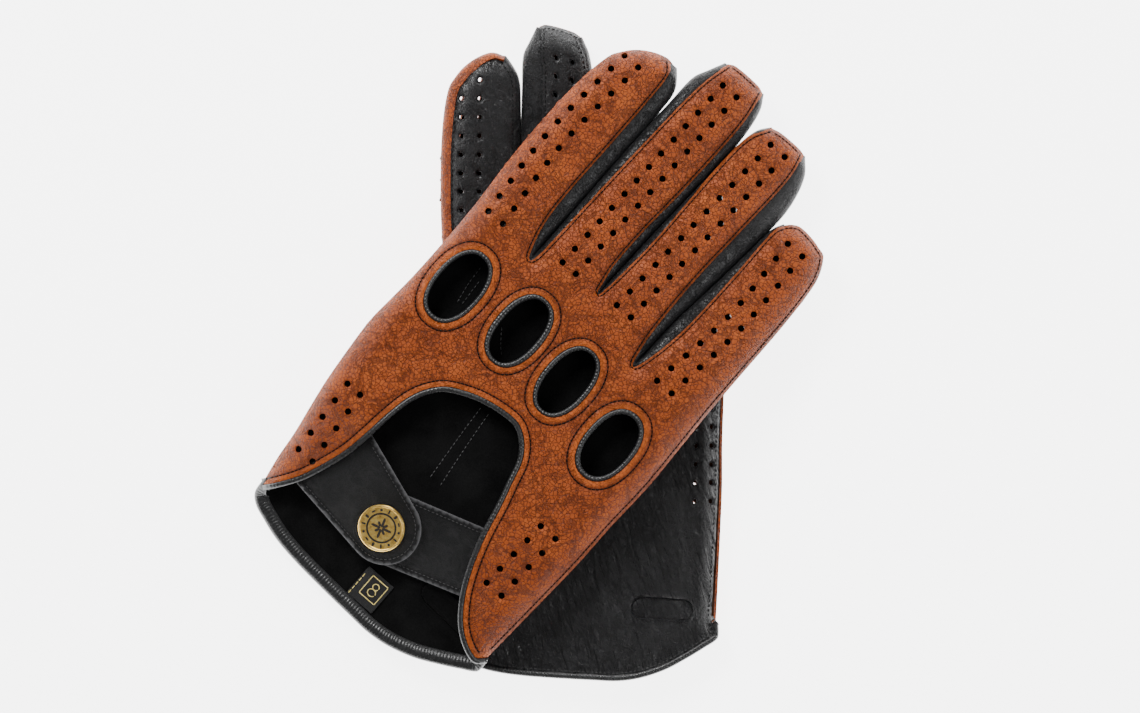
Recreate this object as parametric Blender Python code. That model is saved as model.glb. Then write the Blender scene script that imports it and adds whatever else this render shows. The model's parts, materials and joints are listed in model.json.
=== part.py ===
"""A pair of unlined leather driving gloves laid one over the other.

Left glove: palm up, flat on the table.  Right glove: back up, lying across it.
Local pattern coordinates are in millimetres: u across the hand from the index
side to the little-finger side, v from cuff to fingertips, w from the outer
face of the palm to the outer face of the back.
"""
import bpy
import bmesh
import math
from mathutils import Vector, Matrix
from mathutils.geometry import delaunay_2d_cdt

# ---- driving sizes (metres) ----
HAND_WIDTH = 0.1037
GLOVE_LENGTH = 0.2222
LOFT = 0.0100
LEATHER = 0.0010
GAP = 0.0003
EDGE_ROUND = 0.0085
SEAM_BACK_HEIGHT = 0.00465
FINGER_EDGE_DROP = 0.0021
FOURCHETTE_THICK = 0.0011
KNUCKLE_BINDING = 0.0017
BINDING_THICK = 0.0015
OPENING_BINDING = 0.0018
CUFF_BINDING_WIDTH = 0.0036
CUFF_BINDING_THICK = 0.0018
THUMB_WIDTH = 0.0280
THUMB_LENGTH = 0.0610
THUMB_DEPTH = 0.0070
THUMB_COLLAR = 0.0107
THUMB_COLLAR_WALL = 0.0010
SNAP_DIAMETER = 0.0158
SNAP_HEIGHT = 0.0016
STRAP_THICK = 0.0011
STRAP_END = 0.0125
LABEL_WIDTH = 0.0108
LABEL_LENGTH = 0.0115
RIGHT_TURN = math.radians(-41.0)

MM = 1000.0
SU = HAND_WIDTH / 0.1037
SV = GLOVE_LENGTH / 0.2222
T = LEATHER * MM
G = GAP * MM
H = LOFT * MM
R_EDGE = EDGE_ROUND * MM
OUT_DROP = H - SEAM_BACK_HEIGHT * MM
OUT_RISE = SEAM_BACK_HEIGHT * MM - T - G - T
PLATEAU = H + THUMB_DEPTH * MM + 2 * G


def pt(u, v):
    return (u * SU, v * SV)


def scaled(points):
    return [pt(u, v) for u, v in points]


# ---- pattern lines (mm at the nominal size) ----
LEFT_SIDE = scaled([(-44.6, 15), (-46.4, 25), (-49.2, 45), (-51.6, 62), (-53, 80), (-51.8, 100),
                    (-51.6, 118), (-52.4, 140), (-53.3, 158), (-53.2, 178)])
RIGHT_SIDE = scaled([(49.2, 21), (50.6, 45), (51.6, 75), (52.2, 97), (51.4, 125), (51.2, 150)])
GAPS = [scaled([(-26.2, 133.2), (-26.1, 165), (-26, 200), (-24.9, 209)]),
        scaled([(-1.9, 138.6), (-1.5, 155), (-0.2, 185), (0.5, 205)]),
        scaled([(22.5, 129.2), (23.2, 148), (25, 170), (27.4, 190)])]
INSET = [(4.0, 2.6), (2.4, 2.2), (4.2, 2.8)]
# finger: left start v, right start v, tip v
TIPS = [(189, 196, 209.4), (207, 207, 222.2), (201, 199, 215.4), (185, 180, 196.2)]
FOURCHETTE_TOPS = [(190, 200), (200, 194), (192, 178)]
HOLES = {"index": (-38.3, 107.1, 8.55, 13.8), "middle": (-13.5, 109.2, 8.6, 13.7),
         "ring": (9.2, 106.8, 8.3, 13.4), "little": (33.6, 100.3, 8.7, 13.5)}
KEYHOLE = scaled([(-44.4, 15), (-41.7, 18.3), (-36.9, 25.8), (-33.5, 34.2), (-30.9, 42.7),
                  (-29.3, 53), (-28, 62), (-26, 71), (-21.5, 78), (-14.5, 82.5), (-6, 85.3),
                  (1.5, 86.4), (7, 86), (12, 82.6), (15.5, 77.2), (17.9, 69), (20.6, 58),
                  (23.2, 48.5), (26.6, 39.4), (31.2, 30.4), (37.7, 22.9), (46, 18.8), (49.2, 21)])
CUFF = scaled([(-44.8, 11.5), (-41.9, 8.5), (-36.9, 6.5), (-29.2, 4.2), (-20, 2.8), (-8, 1.9),
               (5.4, 1.2), (14, 0.9), (22, 1.9), (30.8, 4.6), (38, 8.1), (45, 12), (50.4, 15.4)])


# ---- plane geometry ----
def seg_dist(p, a, b):
    ax, ay = b[0] - a[0], b[1] - a[1]
    t = ((p[0] - a[0]) * ax + (p[1] - a[1]) * ay) / (ax * ax + ay * ay)
    t = min(1.0, max(0.0, t))
    return math.hypot(p[0] - a[0] - ax * t, p[1] - a[1] - ay * t)


def line_dist(p, line):
    return min(seg_dist(p, line[i], line[i + 1]) for i in range(len(line) - 1))


def at_v(line, v):
    for i in range(len(line) - 1):
        a, b = line[i], line[i + 1]
        if v <= b[1] or i == len(line) - 2:
            return a[0] + (b[0] - a[0]) * (v - a[1]) / (b[1] - a[1])


def offset(line, d):
    """Points moved d to the left of the travel direction."""
    out = []
    for i, p in enumerate(line):
        a = line[max(0, i - 1)]
        b = line[min(len(line) - 1, i + 1)]
        dx, dy = b[0] - a[0], b[1] - a[1]
        n = math.hypot(dx, dy)
        out.append((p[0] - dy / n * d, p[1] + dx / n * d))
    return out


def below(line, v):
    return [p for p in line if p[1] < v - 0.5] + [(at_v(line, v), v)]


def resample(line, step):
    out = [line[0]]
    for i in range(len(line) - 1):
        a, b = line[i], line[i + 1]
        n = max(1, round(math.hypot(b[0] - a[0], b[1] - a[1]) / step))
        out += [(a[0] + (b[0] - a[0]) * k / n, a[1] + (b[1] - a[1]) * k / n) for k in range(1, n + 1)]
    return out


def inside(p, loop):
    hit = False
    for i in range(len(loop)):
        a, b = loop[i - 1], loop[i]
        if (a[1] > p[1]) != (b[1] > p[1]):
            if p[0] < a[0] + (p[1] - a[1]) * (b[0] - a[0]) / (b[1] - a[1]):
                hit = not hit
    return hit


def oval(cu, cv, ru, rv, n, power=2.4):
    out = []
    for i in range(n):
        c, s = math.cos(2 * math.pi * i / n), math.sin(2 * math.pi * i / n)
        k = (abs(c) ** power + abs(s) ** power) ** (-1 / power)
        out.append((cu + ru * c * k, cv + rv * s * k))
    return out


def tip_curve(left, right, tip, n=7, power=2.6):
    """Rounded fingertip from the left start point over to the right start point."""
    out = []
    for i in range(1, n):
        a = math.pi * (1 - i / n)
        c, s = math.cos(a), math.sin(a)
        k = (abs(c) ** power + abs(s) ** power) ** (-1 / power)
        t = (1 + c * k) / 2
        base_v = left[1] + (right[1] - left[1]) * t
        out.append((left[0] + (right[0] - left[0]) * t, base_v + (tip - base_v) * s * k))
    return out


# ---- finger outlines ----
def crotch_arc(gap, left_inset, right_inset):
    c = gap[0]
    out = []
    for i in range(1, 4):
        a = math.pi + math.pi * i / 4
        r = left_inset + (right_inset - left_inset) * i / 4
        out.append((c[0] + r * math.cos(a), c[1] + r * math.sin(a)))
    return out


def finger_sides(insets):
    """Left and right edge line of each finger, at the given insets from the gap lines."""
    lines = [LEFT_SIDE]
    for gap, (a, b) in zip(GAPS, insets):
        lines.append(offset(gap, a))
        lines.append(offset(gap, -b))
    lines.append(RIGHT_SIDE + [pt(51.0, 185)])
    return [(lines[2 * i], lines[2 * i + 1]) for i in range(4)]


def hand_outline(insets, bottom_line):
    """Closed outline: up the index side, over the four fingers, down the little side."""
    sides = finger_sides(insets)
    loop = []
    for i, (left, right) in enumerate(sides):
        lv, rv, tv = [x * SV for x in TIPS[i]]
        up = resample(below(left, lv), 8)
        down = resample(below(right, rv), 8)
        loop += up
        loop += tip_curve(up[-1], down[-1], tv)
        loop += down[::-1]
        if i < 3:
            loop += crotch_arc(GAPS[i], insets[i][0], insets[i][1])
    return loop + bottom_line


PALM_INSET = [(1.3, 1.3)] * 3
SIDES = finger_sides(PALM_INSET)
OUTER_EDGES = [LEFT_SIDE, RIGHT_SIDE]
for k in range(4):
    lo, ro, to = [x * SV for x in TIPS[k]]
    pl = (at_v(SIDES[k][0], lo), lo)
    pr = (at_v(SIDES[k][1], ro), ro)
    OUTER_EDGES.append(tip_curve(pl, pr, to)[1:-1])


def outer_dist(p):
    return min(line_dist(p, line) for line in OUTER_EDGES)


def back_top(u, v):
    p = (u, v)
    d = min(outer_dist(p), R_EDGE)
    drop = OUT_DROP * (1 - d / R_EDGE) ** 2
    for gap, (a, b) in zip(GAPS, INSET):
        inset = a if u < at_v(gap, max(v, gap[0][1])) else b
        e = max(0.0, line_dist(p, gap) - inset)
        if e < 5.0:
            drop = max(drop, FINGER_EDGE_DROP * MM * (1 - e / 5.0) ** 2)
    return H - drop


def palm_low(u, v):
    d = min(outer_dist((u, v)), R_EDGE)
    return OUT_RISE * (1 - d / R_EDGE) ** 2


# ---- placing the two gloves ----
def droop(x, b):
    if x < -b / 2:
        return 0.0
    if x < b / 2:
        return (x + b / 2) ** 2 / (2 * b)
    return x


def ramp(v):
    return 0.4 + 0.6 * min(1.0, max(0.0, (v / SV - 10) / 110))


def smooth(t):
    t = min(1.0, max(0.0, t))
    return t * t * (3 - 2 * t)


def right_place(u, v, w):
    s = u / SU / 100.0
    carried = 60.0 * (SU - 1)   # a wider lower glove carries the upper one further
    cuff = (0.235 - 0.214 * s) * droop(53 * SV - carried - v, 12.0)
    tips = (0.130 + 0.090 * s) * droop(v - 138 * SV - carried / 2, 14.0)
    c, n = math.cos(RIGHT_TURN), math.sin(RIGHT_TURN)
    x = c * u - n * v - 78.18 * SV
    y = n * u + c * v - 82.86 * SV
    return (x, y, PLATEAU - cuff - tips + w)


def left_place(u, v, w):
    q = (u / SU + 53) / 104
    du = 11.5 * (1 - q * q) * ramp(v)
    dv = 0.0
    if u / SU > -38:
        dv = -20 * ((u / SU + 38) / 75) ** 1.3 * smooth((v / SV - 130) / 66)
    return (u + du * SU - 1.0, v + dv * SV - 108.4 * SV, H - w)


def invert(place, x, y):
    u, v = 0.0, 60.0
    for _ in range(40):
        px, py, _z = place(u, v, 0)
        qx, qy, _z = place(u + 0.1, v, 0)
        rx, ry, _z = place(u, v + 0.1, 0)
        a, b, c, d = (qx - px) * 10, (rx - px) * 10, (qy - py) * 10, (ry - py) * 10
        ex, ey = x - px, y - py
        det = a * d - b * c
        u += (d * ex - b * ey) / det
        v += (a * ey - c * ex) / det
    return (u, v)


# ---- materials ----
def material(name, color, rough, metal):
    m = bpy.data.materials.new(name)
    m.use_nodes = True
    p = m.node_tree.nodes["Principled BSDF"]
    p.inputs["Base Color"].default_value = color + (1,)
    p.inputs["Roughness"].default_value = rough
    p.inputs["Metallic"].default_value = metal
    return m


def tan_leather():
    return material("tan_leather", (0.50, 0.125, 0.028), 0.45, 0)


def black_leather():
    return material("black_leather", (0.018, 0.018, 0.020), 0.42, 0)


def binding_leather():
    return material("binding_leather", (0.012, 0.012, 0.013), 0.38, 0)


def brass():
    return material("brass", (0.48, 0.33, 0.13), 0.34, 1)


def label_fabric():
    return material("label_fabric", (0.02, 0.02, 0.02), 0.85, 0)


BUILT = []


def finish_piece(name, bm, mat, origin=(0, 0, 0), smooth_on=False):
    bmesh.ops.remove_doubles(bm, verts=bm.verts, dist=1e-4)
    bmesh.ops.recalc_face_normals(bm, faces=bm.faces)
    if bm.calc_volume(signed=True) < 0:
        bmesh.ops.reverse_faces(bm, faces=bm.faces)
    bmesh.ops.triangulate(bm, faces=bm.faces)
    bmesh.ops.scale(bm, vec=Vector((1 / MM,) * 3), verts=bm.verts)
    mesh = bpy.data.meshes.new(name)
    bm.to_mesh(mesh)
    bm.free()
    mesh.materials.append(mat)
    for f in mesh.polygons:
        f.use_smooth = smooth_on
    ob = bpy.data.objects.new(name, mesh)
    bpy.context.collection.objects.link(ob)
    o = Vector(origin) / MM
    mesh.transform(Matrix.Translation(-o))
    ob.location = o
    BUILT.append(ob)
    return ob


# ---- solids ----
def sheet(name, loops, top, low, spacing, place, mat, origin=(0, 0, 0)):
    """Sheet with a plan outline and holes between two height functions."""
    pts, edges = [], []
    for loop in loops:
        base = len(pts)
        pts += loop
        edges += [(base + i, base + (i + 1) % len(loop)) for i in range(len(loop))]
    us = [p[0] for p in loops[0]]
    vs = [p[1] for p in loops[0]]
    if spacing:
        row = 0
        v = min(vs) + spacing * 0.5
        while v < max(vs):
            u = min(us) + spacing * (0.3 + 0.5 * (row % 2))
            while u < max(us):
                p = (u, v)
                if inside(p, loops[0]) and not any(inside(p, h) for h in loops[1:]):
                    if min(line_dist(p, lp + lp[:1]) for lp in loops) > spacing * 0.42:
                        pts.append(p)
                u += spacing
            v += spacing * 0.87
            row += 1
    out = delaunay_2d_cdt([Vector(p) for p in pts], edges, [], 0, 1e-4)
    verts = [tuple(p) for p in out[0]]
    tris = []
    for f in out[2]:
        c = (sum(verts[i][0] for i in f) / 3, sum(verts[i][1] for i in f) / 3)
        if inside(c, loops[0]) and not any(inside(c, h) for h in loops[1:]):
            tris.append(tuple(f))
    bm = bmesh.new()
    used = sorted({i for f in tris for i in f})
    hi, lo = {}, {}
    for i in used:
        u, v = verts[i]
        hi[i] = bm.verts.new(place(u, v, top(u, v)))
        lo[i] = bm.verts.new(place(u, v, low(u, v)))
    count = {}
    for f in tris:
        bm.faces.new([hi[i] for i in f])
        bm.faces.new([lo[i] for i in reversed(f)])
        for a, b in zip(f, f[1:] + f[:1]):
            key = (min(a, b), max(a, b))
            count[key] = count.get(key, 0) + 1
    for (a, b), n in count.items():
        if n == 1:
            bm.faces.new([hi[a], hi[b], lo[b], lo[a]])
    return finish_piece(name, bm, mat, origin)


def skin(name, rings, mat, origin=(0, 0, 0), closed=False, caps=True, smooth_on=False):
    """Body through a row of equal point rings."""
    bm = bmesh.new()
    rows = [[bm.verts.new(p) for p in ring] for ring in rings]
    n = len(rows[0])
    pairs = list(zip(rows, rows[1:]))
    if closed:
        pairs.append((rows[-1], rows[0]))
    for a, b in pairs:
        for i in range(n):
            j = (i + 1) % n
            bm.faces.new([a[i], a[j], b[j], b[i]])
    if caps and not closed:
        for row in (rows[0], rows[-1]):
            for i in range(n // 2 - 1):
                bm.faces.new([row[i], row[i + 1], row[n - 2 - i], row[n - 1 - i]])
    return finish_piece(name, bm, mat, origin, smooth_on)


def lathe(name, profile, frame, cu, cv, mat, origin=(0, 0, 0), n=28):
    """Turned body: profile of (radius, w) closed on itself; radius 0 only at the ends."""
    bm = bmesh.new()
    rings = []
    for r, w in profile:
        if r < 1e-6:
            rings.append([bm.verts.new(frame(cu, cv, w))])
        else:
            rings.append([bm.verts.new(frame(cu + r * math.cos(2 * math.pi * i / n),
                                             cv + r * math.sin(2 * math.pi * i / n), w))
                          for i in range(n)])
    loop = len(rings[0]) > 1
    pairs = list(zip(rings, rings[1:])) + ([(rings[-1], rings[0])] if loop else [])
    for a, b in pairs:
        for i in range(n):
            j = (i + 1) % n
            ring = [a[i % len(a)], a[j % len(a)], b[j % len(b)], b[i % len(b)]]
            keep = []
            for vert in ring:
                if vert not in keep:
                    keep.append(vert)
            bm.faces.new(keep)
    return finish_piece(name, bm, mat, origin, True)


def rigid_frame(place, u0, v0):
    """Flat local frame touching the glove at (u0, v0)."""
    o = Vector(place(u0, v0, 0))
    eu = (Vector(place(u0 + 1, v0, 0)) - Vector(place(u0 - 1, v0, 0))).normalized()
    ev = Vector(place(u0, v0 + 1, 0)) - Vector(place(u0, v0 - 1, 0))
    ev = (ev - eu * ev.dot(eu)).normalized()
    n = eu.cross(ev)
    if n.dot(Vector(place(u0, v0, 1)) - o) < 0:
        n = -n
    return lambda u, v, w: tuple(o + eu * (u - u0) + ev * (v - v0) + n * w)


# ---- the glove pieces ----
def fourchette(name, k, place, mat):
    gap = GAPS[k]
    t_left, t_right = INSET[k]
    tops = [x * SV for x in FOURCHETTE_TOPS[k]]
    f = FOURCHETTE_THICK * MM
    rings = []

    def station(c, direction, inset):
        def at(d):
            return (c[0] + direction[0] * d, c[1] + direction[1] * d)
        edge = inset - G
        w1 = back_top(*at(inset))
        foot = 1.7
        w3 = max(palm_low(*at(foot)), palm_low(*at(foot + f))) * 1.3 + T + G
        wm = (w1 + w3) / 2
        ring = [(edge, w1), (0.4, wm), (foot, w3), (foot + f, w3), (0.4 + f, wm), (edge, w1 - f)]
        rings.append([place(*at(d), w) for d, w in ring])

    def wall(top, side, inset):
        line = resample(below(gap, top), 7)
        normals = []
        for i, c in enumerate(line):
            a, b = line[max(0, i - 1)], line[min(len(line) - 1, i + 1)]
            n = math.hypot(b[0] - a[0], b[1] - a[1])
            normals.append((c, (-(b[1] - a[1]) / n * side, (b[0] - a[0]) / n * side), inset))
        return normals

    stations = wall(tops[0], 1, t_left)[::-1]
    for i in range(1, 4):
        a = math.pi + math.pi * i / 4
        inset = t_left + (t_right - t_left) * i / 4
        stations.append((gap[0], (math.cos(a), math.sin(a)), inset))
    stations += wall(tops[1], -1, t_right)
    for c, direction, inset in stations:
        station(c, direction, inset)
    return skin(name, rings, mat)


def band(name, line, near, far, top, low, place, mat):
    """Strip beside a line, from offset near to offset far (to the left of travel)."""
    a, b = offset(line, near), offset(line, far)
    rings = []
    for p, q in zip(a, b):
        rings.append([place(*p, top(*p)), place(*q, top(*q)), place(*q, low(*q)), place(*p, low(*p))])
    return skin(name, rings, mat)


def hull_points(points):
    pts = sorted(set(points))
    out = []
    for part in (pts, pts[::-1]):
        chain = []
        for p in part:
            while len(chain) > 1:
                a, b = chain[-2], chain[-1]
                if (b[0] - a[0]) * (p[1] - a[1]) - (b[1] - a[1]) * (p[0] - a[0]) > 1e-9:
                    break
                chain.pop()
            chain.append(p)
        out += chain[:-1]
    return out


def circle(cu, cv, r, n):
    return [(cu + r * math.cos(2 * math.pi * i / n), cv + r * math.sin(2 * math.pi * i / n))
            for i in range(n)]


def thumb(side, place, pivot_xy, angle, up):
    """Two shells; the front one turns in a round collar through the palm."""
    half = THUMB_WIDTH * MM / 2
    length = THUMB_LENGTH * MM
    depth = THUMB_DEPTH * MM
    ca, sa = math.cos(angle), math.sin(angle)
    z0 = PLATEAU if up < 0 else H
    origin = (pivot_xy[0], pivot_xy[1], z0)

    def at(a, b, s):
        return (pivot_xy[0] + ca * a - sa * b, pivot_xy[1] + sa * a + ca * b, z0 + up * s)

    outline = []
    for i in range(13):
        t = math.pi / 2 + math.pi * i / 12
        outline.append((half * math.cos(t), half * math.sin(t)))
    outline.append((length * 0.35, -half))
    tip_a = length - half * 0.95
    for i in range(11):
        t = -math.pi / 2 + math.pi * i / 10
        outline.append((tip_a + half * 0.95 * math.cos(t), half * 0.93 * math.sin(t)))
    outline.append((length * 0.35, half))
    ring = outline + outline[:1]
    seam = depth / 2

    def rise(a, b):
        d = min(line_dist((a, b), ring), 7.0)
        return (seam - T - G / 2) * (1 - d / 7.0) ** 2

    hole = circle(0, 0, (THUMB_COLLAR - THUMB_COLLAR_WALL) * MM, 24)
    outer = circle(0, 0, THUMB_COLLAR * MM, 24)
    # the front shell and its collar are one leather piece: rings joined by hand
    front = sheet(side + "_thumb_front", [outline, outer], lambda a, b: G + T + rise(a, b),
                  lambda a, b: G + rise(a, b), 9.0, at, black_leather(), origin)
    bm = bmesh.new()
    bm.from_mesh(front.data)
    bmesh.ops.scale(bm, vec=Vector((MM,) * 3), verts=bm.verts)
    bmesh.ops.translate(bm, vec=Vector(origin), verts=bm.verts)
    inner_faces = []
    for face in bm.faces:
        c = face.calc_center_median()
        if math.hypot(c[0] - pivot_xy[0], c[1] - pivot_xy[1]) < THUMB_COLLAR * MM and abs(face.normal[2]) < 0.1:
            inner_faces.append(face)
    bmesh.ops.delete(bm, geom=inner_faces, context="FACES")
    bm.verts.ensure_lookup_table()

    def find(a, b, s):
        target = Vector(at(a, b, s))
        return min(bm.verts, key=lambda x: (x.co - target).length)

    lip = -T
    inner_top = [bm.verts.new(at(a, b, lip)) for a, b in hole]
    inner_low = [bm.verts.new(at(a, b, G + T + rise(a, b))) for a, b in hole]
    outer_top = [bm.verts.new(at(a, b, lip)) for a, b in outer]
    near = [find(a, b, G + rise(a, b)) for a, b in outer]
    far = [find(a, b, G + T + rise(a, b)) for a, b in outer]
    n = len(hole)
    for i in range(n):
        j = (i + 1) % n
        bm.faces.new([near[i], near[j], outer_top[j], outer_top[i]])
        bm.faces.new([outer_top[i], outer_top[j], inner_top[j], inner_top[i]])
        bm.faces.new([inner_top[i], inner_top[j], inner_low[j], inner_low[i]])
        bm.faces.new([inner_low[i], inner_low[j], far[j], far[i]])
    BUILT.remove(front)
    bpy.data.objects.remove(front)
    finish_piece(side + "_thumb_front", bm, black_leather(), origin)
    for leftover in [m for m in bpy.data.meshes if m.users == 0]:
        bpy.data.meshes.remove(leftover)
    sheet(side + "_thumb_back", [outline], lambda a, b: G + depth - rise(a, b),
          lambda a, b: G + depth - T - rise(a, b), 9.0, at, tan_leather(), origin)


def strap_line():
    """Two points of the hinge axis of the outer tab (pattern coordinates)."""
    return pt(-29.6, 33.2), pt(-26.9, 42.4)


def glove(side, place, thumb_xy, thumb_angle, thumb_up):
    legs = [p for p in KEYHOLE[::-1]][1:-1]
    holes = []
    for key in HOLES:
        cu, cv, ru, rv = HOLES[key]
        cu, cv = pt(cu, cv)
        holes.append(oval(cu, cv, ru * SU + G, rv * SV + G, 20))
    sheet(side + "_back_panel", [hand_outline(INSET, legs)] + holes, back_top,
          lambda u, v: back_top(u, v) - T, 8.0, place, tan_leather())

    cw = CUFF_BINDING_WIDTH * MM
    cuff_in = offset(CUFF, cw + G)[::-1]
    collar = THUMB_COLLAR * MM + G
    hole = [invert(place, x, y) for x, y in circle(thumb_xy[0], thumb_xy[1], collar, 24)]
    sheet(side + "_palm_panel", [hand_outline(PALM_INSET, cuff_in), hole],
          lambda u, v: palm_low(u, v) + T, palm_low, 8.0, place, black_leather())

    names = ["index_middle", "middle_ring", "ring_little"]
    for k in range(3):
        fourchette(side + "_fourchette_" + names[k], k, place, black_leather())
    thumb(side, place, thumb_xy, thumb_angle, thumb_up)

    kb = KNUCKLE_BINDING * MM
    bt = BINDING_THICK * MM
    for key in HOLES:
        cu, cv, ru, rv = HOLES[key]
        cu, cv = pt(cu, cv)
        ring = [oval(cu, cv, ru * SU, rv * SV, 20), oval(cu, cv, ru * SU - kb, rv * SV - kb, 20)]
        sheet(side + "_knuckle_binding_" + key, ring, back_top, lambda u, v: back_top(u, v) - bt,
              None, place, binding_leather())

    ob = OPENING_BINDING * MM
    band(side + "_opening_binding", KEYHOLE[1:-2], -G, -G - ob,
         back_top, lambda u, v: back_top(u, v) - bt, place, binding_leather())
    ct = CUFF_BINDING_THICK * MM
    band(side + "_cuff_binding", CUFF, 0, cw, lambda u, v: palm_low(u, v) + ct,
         palm_low, place, binding_leather())

    # strap and snap, built flat in a frame touching the glove at the snap
    su, sv = pt(-4.8, 32.5)
    frame = rigid_frame(place, su, sv)
    st = STRAP_THICK * MM
    cap_r = SNAP_DIAMETER * MM / 2
    w_cap = H - 0.2 - SNAP_HEIGHT * MM
    w_out = w_cap - G - st
    w_in = w_out - 2.3 - st
    a, b = strap_line()
    ax = Vector((b[0] - a[0], b[1] - a[1])).normalized()
    w_axis = w_out + st + 1.1
    mid = ((a[0] + b[0]) / 2, (a[1] + b[1]) / 2)
    axis_o = frame(mid[0], mid[1], w_axis)
    side_n = Vector((-ax[1], ax[0]))
    root_a = (mid[0] + ax[0] * 15.5 + side_n[0] * 1.4, mid[1] + ax[1] * 15.5 + side_n[1] * 1.4)
    root_b = (mid[0] - ax[0] * 14.5 + side_n[0] * 1.4, mid[1] - ax[1] * 14.5 + side_n[1] * 1.4)
    cu, cv = pt(-4.2, 32.8)
    end = circle(cu, cv, STRAP_END * MM, 28)
    tab = hull_points(end + [root_a, root_b])
    shank = 1.6
    sheet(side + "_strap_outer", [tab, circle(su, sv, shank + 0.6, 20)], lambda u, v: w_out + st,
          lambda u, v: w_out, None, frame, black_leather(), axis_o)
    inner_end = circle(su, sv, STRAP_END * MM, 28)
    root = [pt(18.7, 53.5), pt(28.2, 31.0)]
    sheet(side + "_strap_inner", [hull_points(inner_end + root), circle(su, sv, shank + 0.6, 20)],
          lambda u, v: w_in + st, lambda u, v: w_in, None, frame, black_leather())
    top = w_cap + SNAP_HEIGHT * MM
    low = w_out - G
    lathe(side + "_snap_cap", [(0, top - 0.55), (cap_r * 0.55, top - 0.55), (cap_r * 0.64, top - 0.2),
                               (cap_r * 0.84, top), (cap_r, top - 0.55), (cap_r, w_cap + 0.2),
                               (cap_r * 0.95, w_cap), (shank, w_cap), (shank, low - 0.1), (0, low - 0.1)],
          frame, su, sv, brass(), axis_o)
    lathe(side + "_snap_socket", [(shank + G, low), (5.4, low), (5.4, low - 0.5), (4.2, low - 1.05),
                                  (3.0, low - 1.05), (shank + 0.75, low - 0.45), (shank + G, low - 0.45)],
          frame, su, sv, brass(), axis_o, 24)
    base = w_in + st + G
    lathe(side + "_snap_stud", [(shank + 0.15 + G, base), (5.0, base), (5.0, base + 0.35),
                                (3.0 - G, base + 0.35), (2.7 - G, base + 0.8), (shank + 0.15 + G, base + 0.8)],
          frame, su, sv, brass(), (0, 0, 0), 24)
    flange = w_in - G
    lathe(side + "_snap_post", [(0, flange - 0.5), (4.6, flange - 0.5), (5.0, flange - 0.2), (5.0, flange),
                                (shank, flange), (shank, base + 0.6), (0, base + 0.6)],
          frame, su, sv, brass(), (0, 0, 0), 24)
    lu, lv = pt(0, 6.4)
    lw, ll = LABEL_WIDTH * MM, LABEL_LENGTH * MM
    sheet(side + "_size_label", [[(lu, lv), (lu + lw, lv), (lu + lw, lv + ll), (lu, lv + ll)]],
          lambda u, v: T + G + 0.4, lambda u, v: T + G, None, place, label_fabric())


def main():
    for ob in list(bpy.data.objects):
        bpy.data.objects.remove(ob)
    glove("left", left_place, (-30.4 * SV, -29.2 * SV), math.radians(12), 1)
    ru, rv = pt(-37.9, 72.7)
    x, y, _z = right_place(ru, rv, 0)
    glove("right", right_place, (x, y), RIGHT_TURN + math.radians(87 + 3), -1)
    corners = [ob.matrix_world @ v.co + ob.location - ob.matrix_world.translation
               for ob in BUILT for v in ob.data.vertices]
    shift = Vector(((min(c[0] for c in corners) + max(c[0] for c in corners)) / 2,
                    (min(c[1] for c in corners) + max(c[1] for c in corners)) / 2,
                    min(c[2] for c in corners)))
    for ob in BUILT:
        ob.location = ob.location - shift
    bpy.context.view_layer.update()


main()
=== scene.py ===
"""Leather driving gloves: the right one back up, lying across the left one, which is palm up."""
import json
import math

import bmesh
import bpy
import numpy as np
from mathutils import Matrix, Vector, kdtree, noise
from mathutils.geometry import delaunay_2d_cdt


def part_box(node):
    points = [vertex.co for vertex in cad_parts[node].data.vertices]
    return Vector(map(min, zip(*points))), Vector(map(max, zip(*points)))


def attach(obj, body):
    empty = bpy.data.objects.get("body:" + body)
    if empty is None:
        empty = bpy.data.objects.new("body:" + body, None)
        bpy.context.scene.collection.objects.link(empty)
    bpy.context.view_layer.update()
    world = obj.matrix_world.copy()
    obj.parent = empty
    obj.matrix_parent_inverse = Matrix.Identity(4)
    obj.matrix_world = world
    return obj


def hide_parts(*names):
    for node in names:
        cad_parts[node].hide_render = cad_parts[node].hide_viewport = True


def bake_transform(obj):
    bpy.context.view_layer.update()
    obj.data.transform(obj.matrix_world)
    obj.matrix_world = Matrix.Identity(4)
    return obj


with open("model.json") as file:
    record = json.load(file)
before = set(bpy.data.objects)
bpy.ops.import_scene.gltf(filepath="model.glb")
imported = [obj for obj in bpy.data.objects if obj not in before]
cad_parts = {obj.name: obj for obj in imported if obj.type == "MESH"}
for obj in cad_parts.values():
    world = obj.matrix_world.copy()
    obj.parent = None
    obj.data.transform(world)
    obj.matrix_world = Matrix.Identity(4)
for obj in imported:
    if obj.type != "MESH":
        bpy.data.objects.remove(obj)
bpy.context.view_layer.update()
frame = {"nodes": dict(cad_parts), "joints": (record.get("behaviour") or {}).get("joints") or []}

# ---- Camera, table and light ----
# A plain white sweep under soft daylight from large overhead panels, seen straight
# down through a long lens.
MM = 0.001
label_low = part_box("left_size_label")[0]
CENTRE = Vector((label_low.x / MM - 2.405, label_low.y / MM + 102.0, 0))
VIEW_WIDTH = 0.3762
CAMERA_HEIGHT = 3.0
MID_HEIGHT = 0.018

camera_data = bpy.data.cameras.new("camera")
camera = bpy.data.objects.new("camera", camera_data)
bpy.context.scene.collection.objects.link(camera)
camera.location = (CENTRE.x * MM, CENTRE.y * MM, CAMERA_HEIGHT)
camera_data.sensor_width = 36
camera_data.lens = 36 * (CAMERA_HEIGHT - MID_HEIGHT) / VIEW_WIDTH
camera_data.clip_end = 20
bpy.context.scene.camera = camera

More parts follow.
